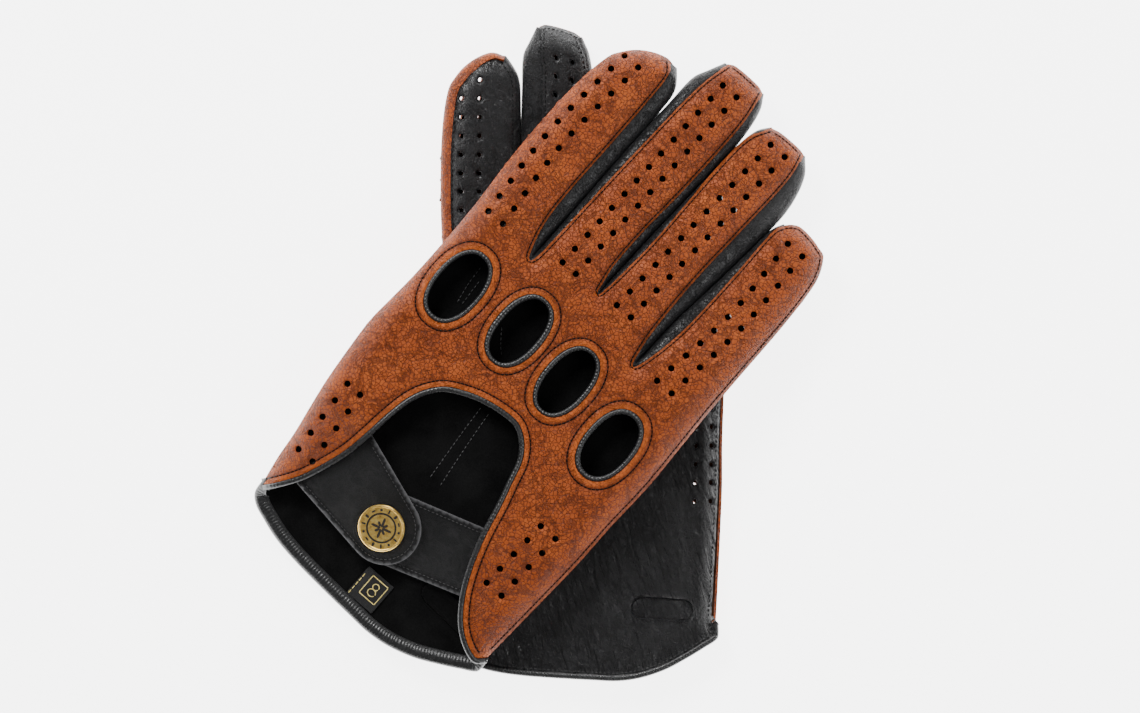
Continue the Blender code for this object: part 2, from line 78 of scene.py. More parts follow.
floor_mesh = bpy.data.meshes.new("table_top")
floor_bm = bmesh.new()
bmesh.ops.create_grid(floor_bm, x_segments=4, y_segments=4, size=3.0)
floor_bm.to_mesh(floor_mesh)
floor_bm.free()
floor = bpy.data.objects.new("table_top", floor_mesh)
floor.location.z = -0.0004
bpy.context.scene.collection.objects.link(floor)
floor_paint = bpy.data.materials.new("white_table")
floor_paint.use_nodes = True
floor_shader = floor_paint.node_tree.nodes["Principled BSDF"]
floor_shader.inputs["Base Color"].default_value = (0.93, 0.93, 0.93, 1)
floor_shader.inputs["Roughness"].default_value = 0.9
floor_shader.inputs["Specular IOR Level"].default_value = 0.1
floor_shader.inputs["Emission Color"].default_value = (1, 1, 1, 1)
floor_shader.inputs["Emission Strength"].default_value = 5.0
floor_mesh.materials.append(floor_paint)

world = bpy.data.worlds.new("studio")
world.use_nodes = True
world.node_tree.nodes["Background"].inputs["Color"].default_value = (1, 1, 1, 1)
world.node_tree.nodes["Background"].inputs["Strength"].default_value = 0.35
bpy.context.scene.world = world
LAMPS = [("key", (-0.45, 0.65, 0.85), 0.40, 11.0), ("fill", (0.75, -0.25, 0.9), 0.5, 4.5),
         ("top", (0.15, 0.9, 0.45), 0.4, 4.5)]
for lamp_name, place_at, side, power in LAMPS:
    lamp = bpy.data.lights.new(lamp_name, "AREA")
    lamp.shape = "SQUARE"
    lamp.size = side
    lamp.energy = power
    lamp_object = bpy.data.objects.new(lamp_name, lamp)
    lamp_object.location = place_at
    lamp_object.rotation_euler = Vector(place_at).to_track_quat("Z", "Y").to_euler()
    bpy.context.scene.collection.objects.link(lamp_object)

# ---- Palm panels ----
# One piece of black hairsheep for the palm and the fingers' fronts, cut out along the
# pattern and sewn to the back round the little finger, the tips and the index side.
# Pattern coordinates in mm: u across the hand, v up to the fingertips, w through it.
LOFT = 10.0
PLATEAU = 17.6
LEATHER = 0.95
SIDES = ("left", "right")
TURN_COS, TURN_SIN = math.cos(math.radians(41)), math.sin(math.radians(41))


def bend(x, b):
    if x < -b / 2:
        return 0.0
    return (x + b / 2) ** 2 / (2 * b) if x < b / 2 else x


def place_right(u, v, w):
    """The right glove sags over the left one, down to its cuff and to its fingertips."""
    sag = (0.235 - 0.00214 * u) * bend(53 - v, 12.0) + (0.130 + 0.0009 * u) * bend(v - 138, 14.0)
    x = TURN_COS * u + TURN_SIN * v - 78.18
    y = -TURN_SIN * u + TURN_COS * v - 82.86
    return (CENTRE + Vector((x, y, PLATEAU - sag + w))) * MM


def place_left(u, v, w):
    """The left glove lies flat, palm up, its fingers drawn together."""
    q = (u + 53) / 104
    ramp = 0.4 + 0.6 * min(1.0, max(0.0, (v - 10) / 110))
    t = min(1.0, max(0.0, (v - 130) / 66))
    dv = -20 * ((u + 38) / 75) ** 1.3 * t * t * (3 - 2 * t) if u > -38 else 0.0
    return (CENTRE + Vector((u + 11.5 * (1 - q * q) * ramp - 1.0, v + dv - 108.4, LOFT - w))) * MM


PLACE = {"left": place_left, "right": place_right}


def curve(points, step=1.0, closed=False):
    """Evenly spaced points on a smooth curve through the given ones."""
    pts = [np.array(p, float) for p in points]
    n = len(pts)
    dense = []
    for i in range(n if closed else n - 1):
        p1, p2 = pts[i], pts[(i + 1) % n]
        p0 = pts[i - 1] if closed or i else 2 * p1 - p2
        p3 = pts[(i + 2) % n] if closed or i < n - 2 else 2 * p2 - p1
        chord = np.linalg.norm(p2 - p1)
        m1 = (p2 - p0) * chord / (np.linalg.norm(p2 - p1) + np.linalg.norm(p1 - p0))
        m2 = (p3 - p1) * chord / (np.linalg.norm(p3 - p2) + np.linalg.norm(p2 - p1))
        count = max(2, int(chord / 0.2))
        for k in range(count):
            t = k / count
            dense.append((2 * t ** 3 - 3 * t ** 2 + 1) * p1 + (t ** 3 - 2 * t ** 2 + t) * m1
                         + (3 * t ** 2 - 2 * t ** 3) * p2 + (t ** 3 - t ** 2) * m2)
    dense.append(pts[0] if closed else pts[-1])
    dense = np.array(dense)
    run = np.concatenate([[0], np.cumsum(np.linalg.norm(np.diff(dense, axis=0), axis=1))])
    total = max(1, round(run[-1] / step))
    at = np.linspace(0, run[-1], total + 1)
    out = np.stack([np.interp(at, run, dense[:, k]) for k in range(2)], axis=1)
    return out[:-1] if closed else out


def aside(line, amount, closed=False):
    """The line moved to the right of its direction by an amount, one for all or one for each point."""
    if closed:
        step = np.roll(line, -1, axis=0) - np.roll(line, 1, axis=0)
    else:
        step = np.gradient(line, axis=0)
    step /= np.linalg.norm(step, axis=1)[:, None] + 1e-9
    return line + np.stack([step[:, 1], -step[:, 0]], axis=1) * np.reshape(amount, (-1, 1))


def evenly(loop, step):
    """A closed outline's points, evenly spaced."""
    ends = np.vstack([loop, loop[:1]])
    run = np.concatenate([[0], np.cumsum(np.linalg.norm(np.diff(ends, axis=0), axis=1))])
    at = np.linspace(0, run[-1], round(run[-1] / step) + 1)[:-1]
    return np.stack([np.interp(at, run, ends[:, k]) for k in range(2)], axis=1)


def tree_of(*lines):
    points = np.concatenate(lines)
    tree = kdtree.KDTree(len(points))
    for i, p in enumerate(points):
        tree.insert((p[0], p[1], 0), i)
    tree.balance()
    return tree


def reach(tree, u, v):
    return tree.find((u, v, 0))[2]


INDEX_SIDE = [(-44.6, 15), (-46.4, 25), (-47.5, 35), (-49.2, 45), (-50.8, 55), (-52.2, 68), (-53, 80),
              (-52.4, 90), (-51.8, 100), (-51.6, 115), (-51.8, 130), (-52.6, 142), (-53.3, 155),
              (-53.4, 170), (-53.1, 180), (-52.2, 190)]
INDEX_TIP = [(-52.2, 190), (-50.6, 197.6), (-48.5, 201), (-46.2, 203.8), (-43.1, 206.3),
             (-39.6, 208.2), (-35.4, 209.4), (-31.5, 208.6)]
MIDDLE_TIP = [(-20, 220.5), (-17, 222.2), (-7, 222.2), (-4.3, 221.2)]
RING_TIP = [(5.6, 214.6), (9, 215.4), (17, 215.4), (19.6, 214.6)]
LITTLE_TIP = [(29.6, 193), (31.5, 194.9), (34.2, 196.1), (40, 195.7), (43.1, 194.9), (46.2, 193.8),
              (49.6, 187), (50.8, 178)]
LITTLE_SIDE = [(50.8, 178), (51.2, 165), (51.2, 145), (51.3, 130), (51.8, 115), (52.3, 100),
               (52.1, 92), (51.6, 80), (51.5, 65), (50.8, 50), (50, 35), (49.2, 21)]
# between two fingers: down the first one's side, round the crotch and up the second one's
GAPS = [[(-31.5, 208.6), (-29.2, 206), (-27.3, 203), (-26.5, 199), (-26.4, 180), (-26.5, 150),
         (-26.7, 134), (-26.2, 131), (-25.7, 134), (-25.7, 150), (-25.6, 180), (-25.2, 199.5),
         (-24.8, 210), (-22.6, 215), (-20, 220.5)],
        [(-4.3, 221.2), (-1.7, 216.5), (-0.3, 209), (0.1, 200), (-0.9, 180), (-1.8, 160),
         (-2.4, 141), (-1.9, 137), (-1.4, 141), (-0.9, 160), (0.0, 180), (1.1, 203), (2.7, 210.7),
         (5.6, 214.6)],
        [(19.6, 214.6), (23.8, 209.5), (26.3, 201.5), (27, 193), (25.9, 178), (24.2, 160),
         (22.6, 145), (22.1, 131), (22.5, 127), (23, 131), (23.5, 145), (25.1, 160), (26.8, 178),
         (27.9, 189.5), (29.6, 193)]]
CUFF_EDGE = [(-44.8, 11.5), (-41.9, 8.5), (-36.9, 6.5), (-29.2, 4.2), (-20, 2.8), (-8, 1.9), (5.4, 1.2),
             (14, 0.9), (22, 1.9), (30.8, 4.6), (38, 8.1), (45, 12), (50.4, 15.4)]
outer_lines = [curve(line, 0.3) for line in (INDEX_SIDE, INDEX_TIP, MIDDLE_TIP, RING_TIP, LITTLE_TIP,
                                             LITTLE_SIDE)]
outer_tree = tree_of(*outer_lines)
gap_lines = [curve(line, 0.5) for line in GAPS]
gap_tree = tree_of(*gap_lines)


def rounding(d, radius, height):
    """Fall of a rounded edge at distance d inside it."""
    if d >= radius:
        return 0.0
    x = (1 - d / radius) * 0.97
    return height * (1 - math.sqrt(1 - x * x)) / (1 - math.sqrt(1 - 0.97 ** 2))


def palm_height(u, v):
    return max(rounding(reach(outer_tree, u, v), 8.0, 4.2), rounding(reach(gap_tree, u, v), 5.0, 3.6))


def within(points, loop):
    """Which of the points lie inside the closed loop."""
    hit = np.zeros(len(points), bool)
    x, y = points[:, 0], points[:, 1]
    for a, b in zip(loop, np.roll(loop, -1, axis=0)):
        if a[1] == b[1]:
            continue
        span = (a[1] > y) != (b[1] > y)
        hit ^= span & (x < a[0] + (y - a[1]) * (b[0] - a[0]) / (b[1] - a[1]))
    return hit


def ring_of(centre, radii, count, power=2.0):
    turn = np.arange(count) * 2 * math.pi / count
    c, s = np.cos(turn), np.sin(turn)
    k = (np.abs(c) ** power + np.abs(s) ** power) ** (-1 / power)
    return np.stack([centre[0] + radii[0] * c * k, centre[1] + radii[1] * s * k], axis=1)


HOLE = 1.08


def leather_sheet(name, outline, openings, punched, seams, height, place, up, thick=LEATHER,
                  mesh_step=1.15, fold=None, pressed=()):
    """A cut leather panel: an even net of points laid inside the outline, then given its thickness."""
    loops = [outline] + list(openings)
    for centre in punched:
        loops.append(ring_of(centre, (HOLE, HOLE), 12))
    rows = [outline]
    if len(punched):
        rims = [ring_of(centre, (HOLE + 0.45, HOLE + 0.45), 12) for centre in punched]
        rows += rims
    fixed = []
    for line in seams + list(pressed):
        fixed += [line, aside(line, 0.5), aside(line, -0.5)]
    keep_out = tree_of(*(loops + rows + (fixed or [])))
    low, high = outline.min(axis=0), outline.max(axis=0)
    net = []
    for row, v in enumerate(np.arange(low[1], high[1], mesh_step * 0.87)):
        us = np.arange(low[0] + (row % 2) * mesh_step / 2, high[0], mesh_step)
        net.append(np.stack([us, np.full(len(us), v)], axis=1))
    net = np.concatenate(net)
    net = net[within(net, outline)]
    for loop in openings:
        net = net[~within(net, loop)]
    net = np.array([p for p in net if reach(keep_out, p[0], p[1]) > mesh_step * 0.55])
    extra = [p for line in fixed for p in line]
    if len(punched):
        extra += [p for rim in rims for p in rim]
    points = [Vector(p) for loop in loops for p in loop]
    edges, base = [], 0
    for loop in loops:
        n = len(loop)
        edges += [(base + i, base + (i + 1) % n) for i in range(n)]
        base += n
    if extra:
        extra = np.array(extra)
        extra = extra[within(extra, outline)]
        for loop in openings:
            extra = extra[~within(extra, loop)]
        edge_tree = tree_of(*loops)
        points += [Vector(p) for p in extra if reach(edge_tree, p[0], p[1]) > 0.25]
    points += [Vector(p) for p in net]
    flat, _, faces, _, _, _ = delaunay_2d_cdt(points, edges, [], 0, 0.02)
    flat = np.array([tuple(p) for p in flat])
    faces = np.array(faces)
    middle = flat[faces].mean(axis=1)
    inside = within(middle, outline)
    for loop in loops[1:]:
        near = np.abs(middle - loop.mean(axis=0)).max(axis=1) < 60
        inside[near] &= ~within(middle[near], loop)
    bm = bmesh.new()
    fold_layer = bm.verts.layers.float.new("fold")
    seam_layer = bm.verts.layers.float.new("seam")
    verts = [bm.verts.new(place(p[0], p[1], height(p[0], p[1]))) for p in flat]
    if seams:
        seam_tree = tree_of(*seams)
        for vert, p in zip(verts, flat):
            vert[seam_layer] = math.exp(-(reach(seam_tree, p[0], p[1]) / 0.42) ** 2)
    if fold:
        for vert, p in zip(verts, flat):
            vert[fold_layer] = fold(p[0], p[1])
    for f in faces[inside]:
        bm.faces.new([verts[i] for i in f])
    bmesh.ops.delete(bm, geom=[p for p in bm.verts if not p.link_faces], context="VERTS")
    bm.normal_update()
    if sum(f.normal.z for f in bm.faces) * up < 0:
        bmesh.ops.reverse_faces(bm, faces=bm.faces)
        bm.normal_update()
    return thickened(name, bm, thick)


def thickened(name, bm, thick):
    """Gives the outer skin in bm a thickness inwards and makes it an object."""
    skin = bm.faces[:]
    inward = {p: -p.normal * thick * MM for p in bm.verts}
    normals = [inward[p] for p in bm.verts]
    made = bmesh.ops.extrude_face_region(bm, geom=skin, use_keep_orig=True)
    fresh = [p for p in made["geom"] if isinstance(p, bmesh.types.BMVert)]
    for face in made["geom"]:
        if isinstance(face, bmesh.types.BMFace):
            face.material_index = 1
    lookup = kdtree.KDTree(len(normals))
    bm.verts.ensure_lookup_table()
    for i, step in enumerate(normals):
        lookup.insert(bm.verts[i].co, i)
    lookup.balance()
    for p in fresh:
        p.co += normals[lookup.find(p.co)[1]]
    bmesh.ops.recalc_face_normals(bm, faces=bm.faces)
    return as_object(name, bm)


def as_object(name, bm, sharp=50):
    mesh = bpy.data.meshes.new(name)
    bm.to_mesh(mesh)
    bm.free()
    for face in mesh.polygons:
        face.use_smooth = True
    mesh.set_sharp_from_angle(angle=math.radians(sharp))
    piece = bpy.data.objects.new(name, mesh)
    bpy.context.scene.collection.objects.link(piece)
    return piece


def dress(piece, finish, body, *nodes, slot="black_leather", lining=None):
    """Gives a piece its material and lining, puts it on its body and hides the parts it stands for."""
    piece.data.materials.append(finish)
    if lining:
        piece.data.materials.append(lining)
    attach(piece, body)
    if nodes:
        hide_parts(*nodes)
    return piece


def add_group(name, inputs, outputs):
    group = bpy.data.node_groups.new(name, "ShaderNodeTree")
    for label in inputs:
        group.interface.new_socket(label, in_out="INPUT", socket_type="NodeSocketFloat")
    for label in outputs:
        group.interface.new_socket(label, in_out="OUTPUT", socket_type="NodeSocketFloat")
    return group, group.nodes.new("NodeGroupInput"), group.nodes.new("NodeGroupOutput")


def node(tree, kind, links=None, **values):
    """A node with its settings, and its sockets linked or given a value."""
    made = tree.nodes.new(kind)
    for key, value in values.items():
        setattr(made, key, value)
    for key, source in (links or {}).items():
        if isinstance(source, bpy.types.NodeSocket):
            tree.links.new(source, made.inputs[key])
        else:
            made.inputs[key].default_value = source
    return made


def math_node(tree, operation, *values):
    return node(tree, "ShaderNodeMath", dict(enumerate(values)), operation=operation).outputs[0]


def spot_in(tree):
    return tree.nodes.new("ShaderNodeTexCoord").outputs["Object"]


def mark_in(tree, name):
    return node(tree, "ShaderNodeAttribute", attribute_name=name).outputs["Fac"]


def noise_in(tree, spot, scale, detail=2.0, **values):
    links = {"Vector": spot, "Scale": scale, "Detail": detail, **values}
    return node(tree, "ShaderNodeTexNoise", links).outputs["Fac"]


def ranged(tree, value, low, high, at_low=0.0, at_high=1.0, kind="SMOOTHSTEP"):
    links = {"Value": value, "From Min": low, "From Max": high, "To Min": at_low, "To Max": at_high}
    return node(tree, "ShaderNodeMapRange", links, interpolation_type=kind).outputs[0]


def ramp_of(tree, factor, stops):
    made = node(tree, "ShaderNodeValToRGB", {"Fac": factor})
    for element, (position, colour) in zip(made.color_ramp.elements, (stops[0], stops[-1])):
        element.position, element.color = position, colour + (1,)
    for position, colour in stops[1:-1]:
        made.color_ramp.elements.new(position).color = colour + (1,)
    return made.outputs["Color"]


def relief(tree, shader, height, distance, strength=0.5):
    lift = node(tree, "ShaderNodeBump", {"Height": height, "Distance": distance, "Strength": strength})
    tree.links.new(lift.outputs["Normal"], shader.inputs["Normal"])


def new_finish(name, gloss=0.5):
    """A new material, its nodes and its shader."""
    made = bpy.data.materials.new(name)
    made.use_nodes = True
    shader = made.node_tree.nodes["Principled BSDF"]
    shader.inputs["Specular IOR Level"].default_value = gloss
    return made, made.node_tree, shader


# Leather grain: small rounded pebbles between fine creases, broken up by longer wrinkles.
GRAIN_DRIFT = 0.8 * MM
grain, grain_in, grain_out = add_group("leather_grain", ["Pebble size", "Wrinkle size"],
                                       ["Crease", "Pebble", "Wrinkle", "Cloud", "Height"])
grain_spot = spot_in(grain)
pebble_scale, wrinkle_scale = [math_node(grain, "DIVIDE", 1 / MM, socket) for socket in grain_in.outputs[:2]]
drift = node(grain, "ShaderNodeTexNoise", {"Vector": grain_spot, "Scale": 420.0}).outputs["Color"]
drift = node(grain, "ShaderNodeVectorMath", {0: drift, "Scale": GRAIN_DRIFT}, operation="SCALE").outputs[0]
warped = node(grain, "ShaderNodeVectorMath", {0: grain_spot, 1: drift}, operation="ADD").outputs[0]
cells = {"Vector": warped, "Scale": pebble_scale}
cell_edge = node(grain, "ShaderNodeTexVoronoi", cells, feature="DISTANCE_TO_EDGE").outputs["Distance"]
crease = ranged(grain, cell_edge, 0.0, 0.12, 1.0, 0.0)
pebble = node(grain, "ShaderNodeTexVoronoi", cells).outputs["Color"]
pebble = node(grain, "ShaderNodeSeparateColor", {"Color": pebble}).outputs[0]
long_noise = noise_in(grain, warped, wrinkle_scale, 6.0, Roughness=0.62, Distortion=0.9)
ridge = math_node(grain, "ABSOLUTE", math_node(grain, "SUBTRACT", long_noise, 0.5))
wrinkle = ranged(grain, ridge, 0.0, 0.035, 1.0, 0.0)
cloud = noise_in(grain, grain_spot, 75.0, 4.0, Roughness=0.6)
height = math_node(grain, "MULTIPLY_ADD", crease, -0.55, math_node(grain, "MULTIPLY", pebble, 0.25))
height = math_node(grain, "MULTIPLY_ADD", wrinkle, -0.8, height)
for label, source in (("Crease", crease), ("Pebble", pebble), ("Wrinkle", wrinkle), ("Cloud", cloud),
                      ("Height", height)):
    grain.links.new(source, grain_out.inputs[label])


def drag_lines(tree):
    """Long fine wrinkles pulled slantwise over the heel of the hand, strongest towards the cuff."""
    spot = spot_in(tree)
    turned_spot = []
    for way, stretch in (((0.955, 0.297, 0.0), 560.0), ((-0.297, 0.955, 0.0), 85.0)):
        run = node(tree, "ShaderNodeVectorMath", {0: spot, 1: way}, operation="DOT_PRODUCT").outputs["Value"]
        turned_spot.append(math_node(tree, "MULTIPLY", run, stretch))
    flat = node(tree, "ShaderNodeCombineXYZ", {"X": turned_spot[0], "Y": turned_spot[1]}).outputs[0]
    pulled = noise_in(tree, flat, 1.0, 3.0, Roughness=0.55, Distortion=0.5)
    level = node(tree, "ShaderNodeSeparateXYZ", {0: spot}).outputs["Y"]
    fade = ranged(tree, level, -0.095, 0.0, 1.0, 0.15, "LINEAR")
    spread = ranged(tree, noise_in(tree, spot, 38.0, 1.0), 0.4, 0.6, 0.25, 1.0, "LINEAR")
    strength = math_node(tree, "MULTIPLY", fade, spread)
    return math_node(tree, "MULTIPLY", ranged(tree, pulled, 0.35, 0.62), strength)


def leather_finish(name, dark, mid, light, pebble_size, wrinkle_size, bump, rough, creases, wrinkles, gloss,
                   drag=0.0):
    """Dyed glove leather, lighter where it is rubbed, with painted shade darkening its creases, wrinkles and seam
    lines.
    """
    made, tree, shader = new_finish(name, gloss)
    skin = node(tree, "ShaderNodeGroup", node_tree=grain)
    skin.inputs["Pebble size"].default_value = pebble_size
    skin.inputs["Wrinkle size"].default_value = wrinkle_size
    cloudy = math_node(tree, "MULTIPLY_ADD", skin.outputs["Cloud"], 0.55, 0.27)
    tone = math_node(tree, "MULTIPLY_ADD", skin.outputs["Pebble"], 0.14, cloudy)
    base = ramp_of(tree, tone, [(0.32, dark), (0.6, mid), (0.9, light)])
    # painted shade: the colour is drawn to a deeper tone in the grain's creases and wrinkles and along the seam
    # lines
    shade = math_node(tree, "MAXIMUM", math_node(tree, "MULTIPLY", skin.outputs["Crease"], creases),
                      math_node(tree, "MULTIPLY", skin.outputs["Wrinkle"], wrinkles))
    shade = math_node(tree, "MAXIMUM", shade, math_node(tree, "MULTIPLY", mark_in(tree, "seam"), 0.97))
    painted_shade_colour = tuple(c * 0.42 for c in dark) + (1,)
    mixed = node(tree, "ShaderNodeMix", {"Factor": shade, "A": base, "B": painted_shade_colour}, data_type="RGBA")
    tree.links.new(mixed.outputs["Result"], shader.inputs["Base Color"])
    roughness = math_node(tree, "MULTIPLY_ADD", skin.outputs["Pebble"], 0.12, rough)
    tree.links.new(roughness, shader.inputs["Roughness"])
    rise = skin.outputs["Height"]
    if drag:
        rise = math_node(tree, "MULTIPLY_ADD", drag_lines(tree), drag, rise)
    relief(tree, shader, rise, 0.3 * MM, bump)
    return made


def lighten_edges(finish, colour, share):
    """Lightens the colour where the leather's "fold" attribute marks an edge, away from the seams; on the straps
    it is a painted highlight along the cut edge.
    """
    tree = finish.node_tree
    off_seam = math_node(tree, "MULTIPLY_ADD", mark_in(tree, "seam"), -1.0, 1.0)
    mask = math_node(tree, "MULTIPLY", math_node(tree, "MULTIPLY", mark_in(tree, "fold"), off_seam), share)
    base = tree.nodes["Principled BSDF"].inputs["Base Color"]
    links = {"Factor": mask, "A": base.links[0].from_socket, "B": colour}
    tree.links.new(node(tree, "ShaderNodeMix", links, data_type="RGBA").outputs["Result"], base)


BLACK_DYE = [(0.004, 0.004, 0.0045), (0.008, 0.008, 0.0088), (0.014, 0.014, 0.015)]
black_finish = leather_finish("black_leather", *BLACK_DYE, pebble_size=0.9, wrinkle_size=7.0, bump=0.9,
                              rough=0.34, creases=0.3, wrinkles=0.08, gloss=0.38)
palm_finish = leather_finish("palm_leather", *BLACK_DYE, pebble_size=0.9, wrinkle_size=7.0, bump=1.0,
                             rough=0.28, creases=0.3, wrinkles=0.08, gloss=0.58, drag=3.8)


def suede_finish(name, dark, light):
    """The brushed flesh side of the leather, which is the inside of an unlined glove, coloured very dark as
    painted shade for the dim inside.
    """
    made, tree, shader = new_finish(name, 0.06)
    spot = spot_in(tree)
    fibre = noise_in(tree, spot, 2600.0, 3.0)
    tone = math_node(tree, "MULTIPLY", math_node(tree, "ADD", fibre, noise_in(tree, spot, 130.0, 3.0)), 0.5)
    tree.links.new(ramp_of(tree, tone, [(0.3, dark), (0.7, light)]), shader.inputs["Base Color"])
    shader.inputs["Roughness"].default_value = 0.95
    relief(tree, shader, fibre, 0.15 * MM)
    return made


# painted shade: the black leather's flesh side is made near black, darker than the outer leather, for the shade
# inside the glove
black_suede_in_shade = suede_finish("black_suede_in_shade", (0.0022, 0.0022, 0.0023), (0.0085, 0.0085, 0.0085))

gap_insets = {}
for side in SIDES:
    per_gap = []
    for k, line in enumerate(curve(g, 1.0) for g in GAPS):
        inset = np.full(len(line), 1.4)
        if side == "left" and k == 0:
            bottom = int(np.argmin(line[:, 1]))
            rise = np.clip((line[bottom:, 1] - 134) / 30, 0, 1) * np.clip((222 - line[bottom:, 1]) / 14, 0, 1)
            inset[bottom:] = 1.4 + 5.6 * rise * rise * (3 - 2 * rise)
        per_gap.append(inset)
    gap_insets[side] = per_gap


def palm_outline(side):
    index_tip = curve(INDEX_TIP, 1.0)
    parts = [aside(curve(INDEX_SIDE, 1.0), 3.0), aside(index_tip, np.linspace(2.8, 0.8, len(index_tip)))]
    for k, tip in enumerate((MIDDLE_TIP, RING_TIP, LITTLE_TIP)):
        parts.append(aside(curve(GAPS[k], 1.0), gap_insets[side][k]))
        parts.append(aside(curve(tip, 1.0), 0.2))
    parts.append(aside(curve(LITTLE_SIDE, 1.0), np.linspace(0.9, 1.9, len(curve(LITTLE_SIDE, 1.0)))))
    parts.append(aside(curve(CUFF_EDGE[::-1], 1.0), 1.6))
    return tidy_loop(np.concatenate(parts))


def tidy_loop(loop):
    """Drops points that crowd the one before them."""
    kept = [loop[0]]
    for p in loop[1:]:
        if np.linalg.norm(p - kept[-1]) > 0.45:
            kept.append(p)
    if np.linalg.norm(kept[-1] - kept[0]) < 0.45:
        kept.pop()
    return np.array(kept)


def rows_of_holes(columns):
    """Points of perforation columns, each given as a few (u, v) points and a number of holes."""
    out = []
    for points, count in columns:
        line = curve(points, 0.2)
        out += [line[i] for i in np.linspace(0, len(line) - 1, count).round().astype(int)]
    return np.array(out)


PALM_HOLES = [([(-46.2, 200), (-46.6, 166), (-46.0, 132)], 12), ([(-40, 200), (-40.4, 166), (-39.6, 132)], 12),
              ([(-13.5, 212), (-14.2, 175), (-14, 137)], 13), ([(-7.5, 212), (-8.2, 175), (-8, 137)], 13),
              ([(9.5, 206), (8.6, 137)], 12), ([(15.6, 206), (14.6, 137)], 12),
              ([(36.6, 186), (36.2, 127)], 10), ([(42.8, 186), (42.3, 127)], 10),
              ([(40.8, 60.5), (41.2, 91)], 6), ([(47.2, 60.5), (47.6, 103.5)], 8)]
palm_holes = rows_of_holes(PALM_HOLES)
hole_tree = tree_of(palm_holes)
palm_seams = []
thumb_spot = {}
for side in SIDES:
    joint = [j for j in frame["joints"] if j["name"] == side + "_thumb_swing"][0]
    thumb_spot[side] = Vector(joint["pos_m"])


def pattern_point(side, x, y):
    """The pattern coordinates of a spot on the table plan."""
    u, v = 0.0, 60.0
    for _ in range(30):
        here = PLACE[side](u, v, 0) / MM
        du = (PLACE[side](u + 0.1, v, 0) / MM - here) * 10
        dv = (PLACE[side](u, v + 0.1, 0) / MM - here) * 10
        ex, ey = x / MM - here.x, y / MM - here.y
        det = du.x * dv.y - dv.x * du.y
        u += (dv.y * ex - dv.x * ey) / det
        v += (du.x * ey - du.y * ex) / det
    return (u, v)


THUMB_HOLE = 11.0
# a plain oval pressed into the heel of each palm: middle, half length, half height, tilt
STAMP_MIDDLE = np.array(pattern_point("left", (CENTRE.x + 30.5) * MM, (CENTRE.y - 83.6) * MM))
STAMP_HALF, STAMP_RADIUS, STAMP_TILT = 7.6, 3.8, math.radians(-3.5)


def stamp_distance(u, v):
    du, dv = u - STAMP_MIDDLE[0], v - STAMP_MIDDLE[1]
    a = du * math.cos(STAMP_TILT) + dv * math.sin(STAMP_TILT)
    b = dv * math.cos(STAMP_TILT) - du * math.sin(STAMP_TILT)
    return math.hypot(max(0.0, abs(a) - STAMP_HALF), b) - STAMP_RADIUS


def stamp_line(grow):
    out = []
    for middle, start in ((STAMP_HALF, -90), (-STAMP_HALF, 90)):
        for angle in np.radians(np.linspace(start, start + 180, 14)):
            a = middle + (STAMP_RADIUS + grow) * math.cos(angle)
            b = (STAMP_RADIUS + grow) * math.sin(angle)
            out.append((a * math.cos(STAMP_TILT) - b * math.sin(STAMP_TILT),
                        a * math.sin(STAMP_TILT) + b * math.cos(STAMP_TILT)))
    return evenly(np.array(out) + STAMP_MIDDLE, 0.6)


stamp_rings = [stamp_line(g) for g in (0.0, -1.0)]
for side in SIDES:
    place = PLACE[side]
    outline = palm_outline(side)
    spot = thumb_spot[side]
    thumb_hole = np.array([pattern_point(side, spot.x + math.cos(a) * THUMB_HOLE * MM,
                                         spot.y + math.sin(a) * THUMB_HOLE * MM)
                           for a in np.linspace(0, 2 * math.pi, 64, endpoint=False)])
    seam = aside(outline, 1.0, closed=True)
    seam = seam[(seam[:, 1] > 16) | (np.abs(seam[:, 0]) > 47)]
    seam_tree = tree_of(seam)

    def palm_skin(u, v, seam_tree=seam_tree):
        w = palm_height(u, v)
        w += 0.16 * math.exp(-(reach(seam_tree, u, v) / 0.32) ** 2)
        d = reach(hole_tree, u, v)
        w += 0.28 * math.exp(-((max(0.0, d - HOLE)) / 0.3) ** 2) if d < 2.2 else 0.0
        s = stamp_distance(u, v)
        w += 0.70 * math.exp(-((s + 0.6) / 0.4) ** 2) - 0.50 * math.exp(-(s / 0.4) ** 2) + 0.15 * (s < -0.6)
        n = noise.fractal(Vector((u * 0.05, v * 0.05, 3.0)), 0.9, 2.1, 4)
        fold = noise.noise(Vector((u * 0.16, v * 0.035, 9.0)))
        return w - 0.22 * n - 0.16 * fold

    from_thumb = np.linalg.norm(palm_holes - np.array(pattern_point(side, spot.x, spot.y)), axis=1)
    punched = palm_holes[(from_thumb > THUMB_HOLE + 2.0) & ((side == "left") | (palm_holes[:, 1] < 190))]
    piece = leather_sheet(side + "_palm", outline, [thumb_hole], punched, [], palm_skin, place,
                          1 if side == "left" else -1, pressed=stamp_rings)
    dress(piece, palm_finish, side + "_glove", side + "_palm_panel", lining=black_suede_in_shade)
    palm_seams.append((side, outline, palm_skin))


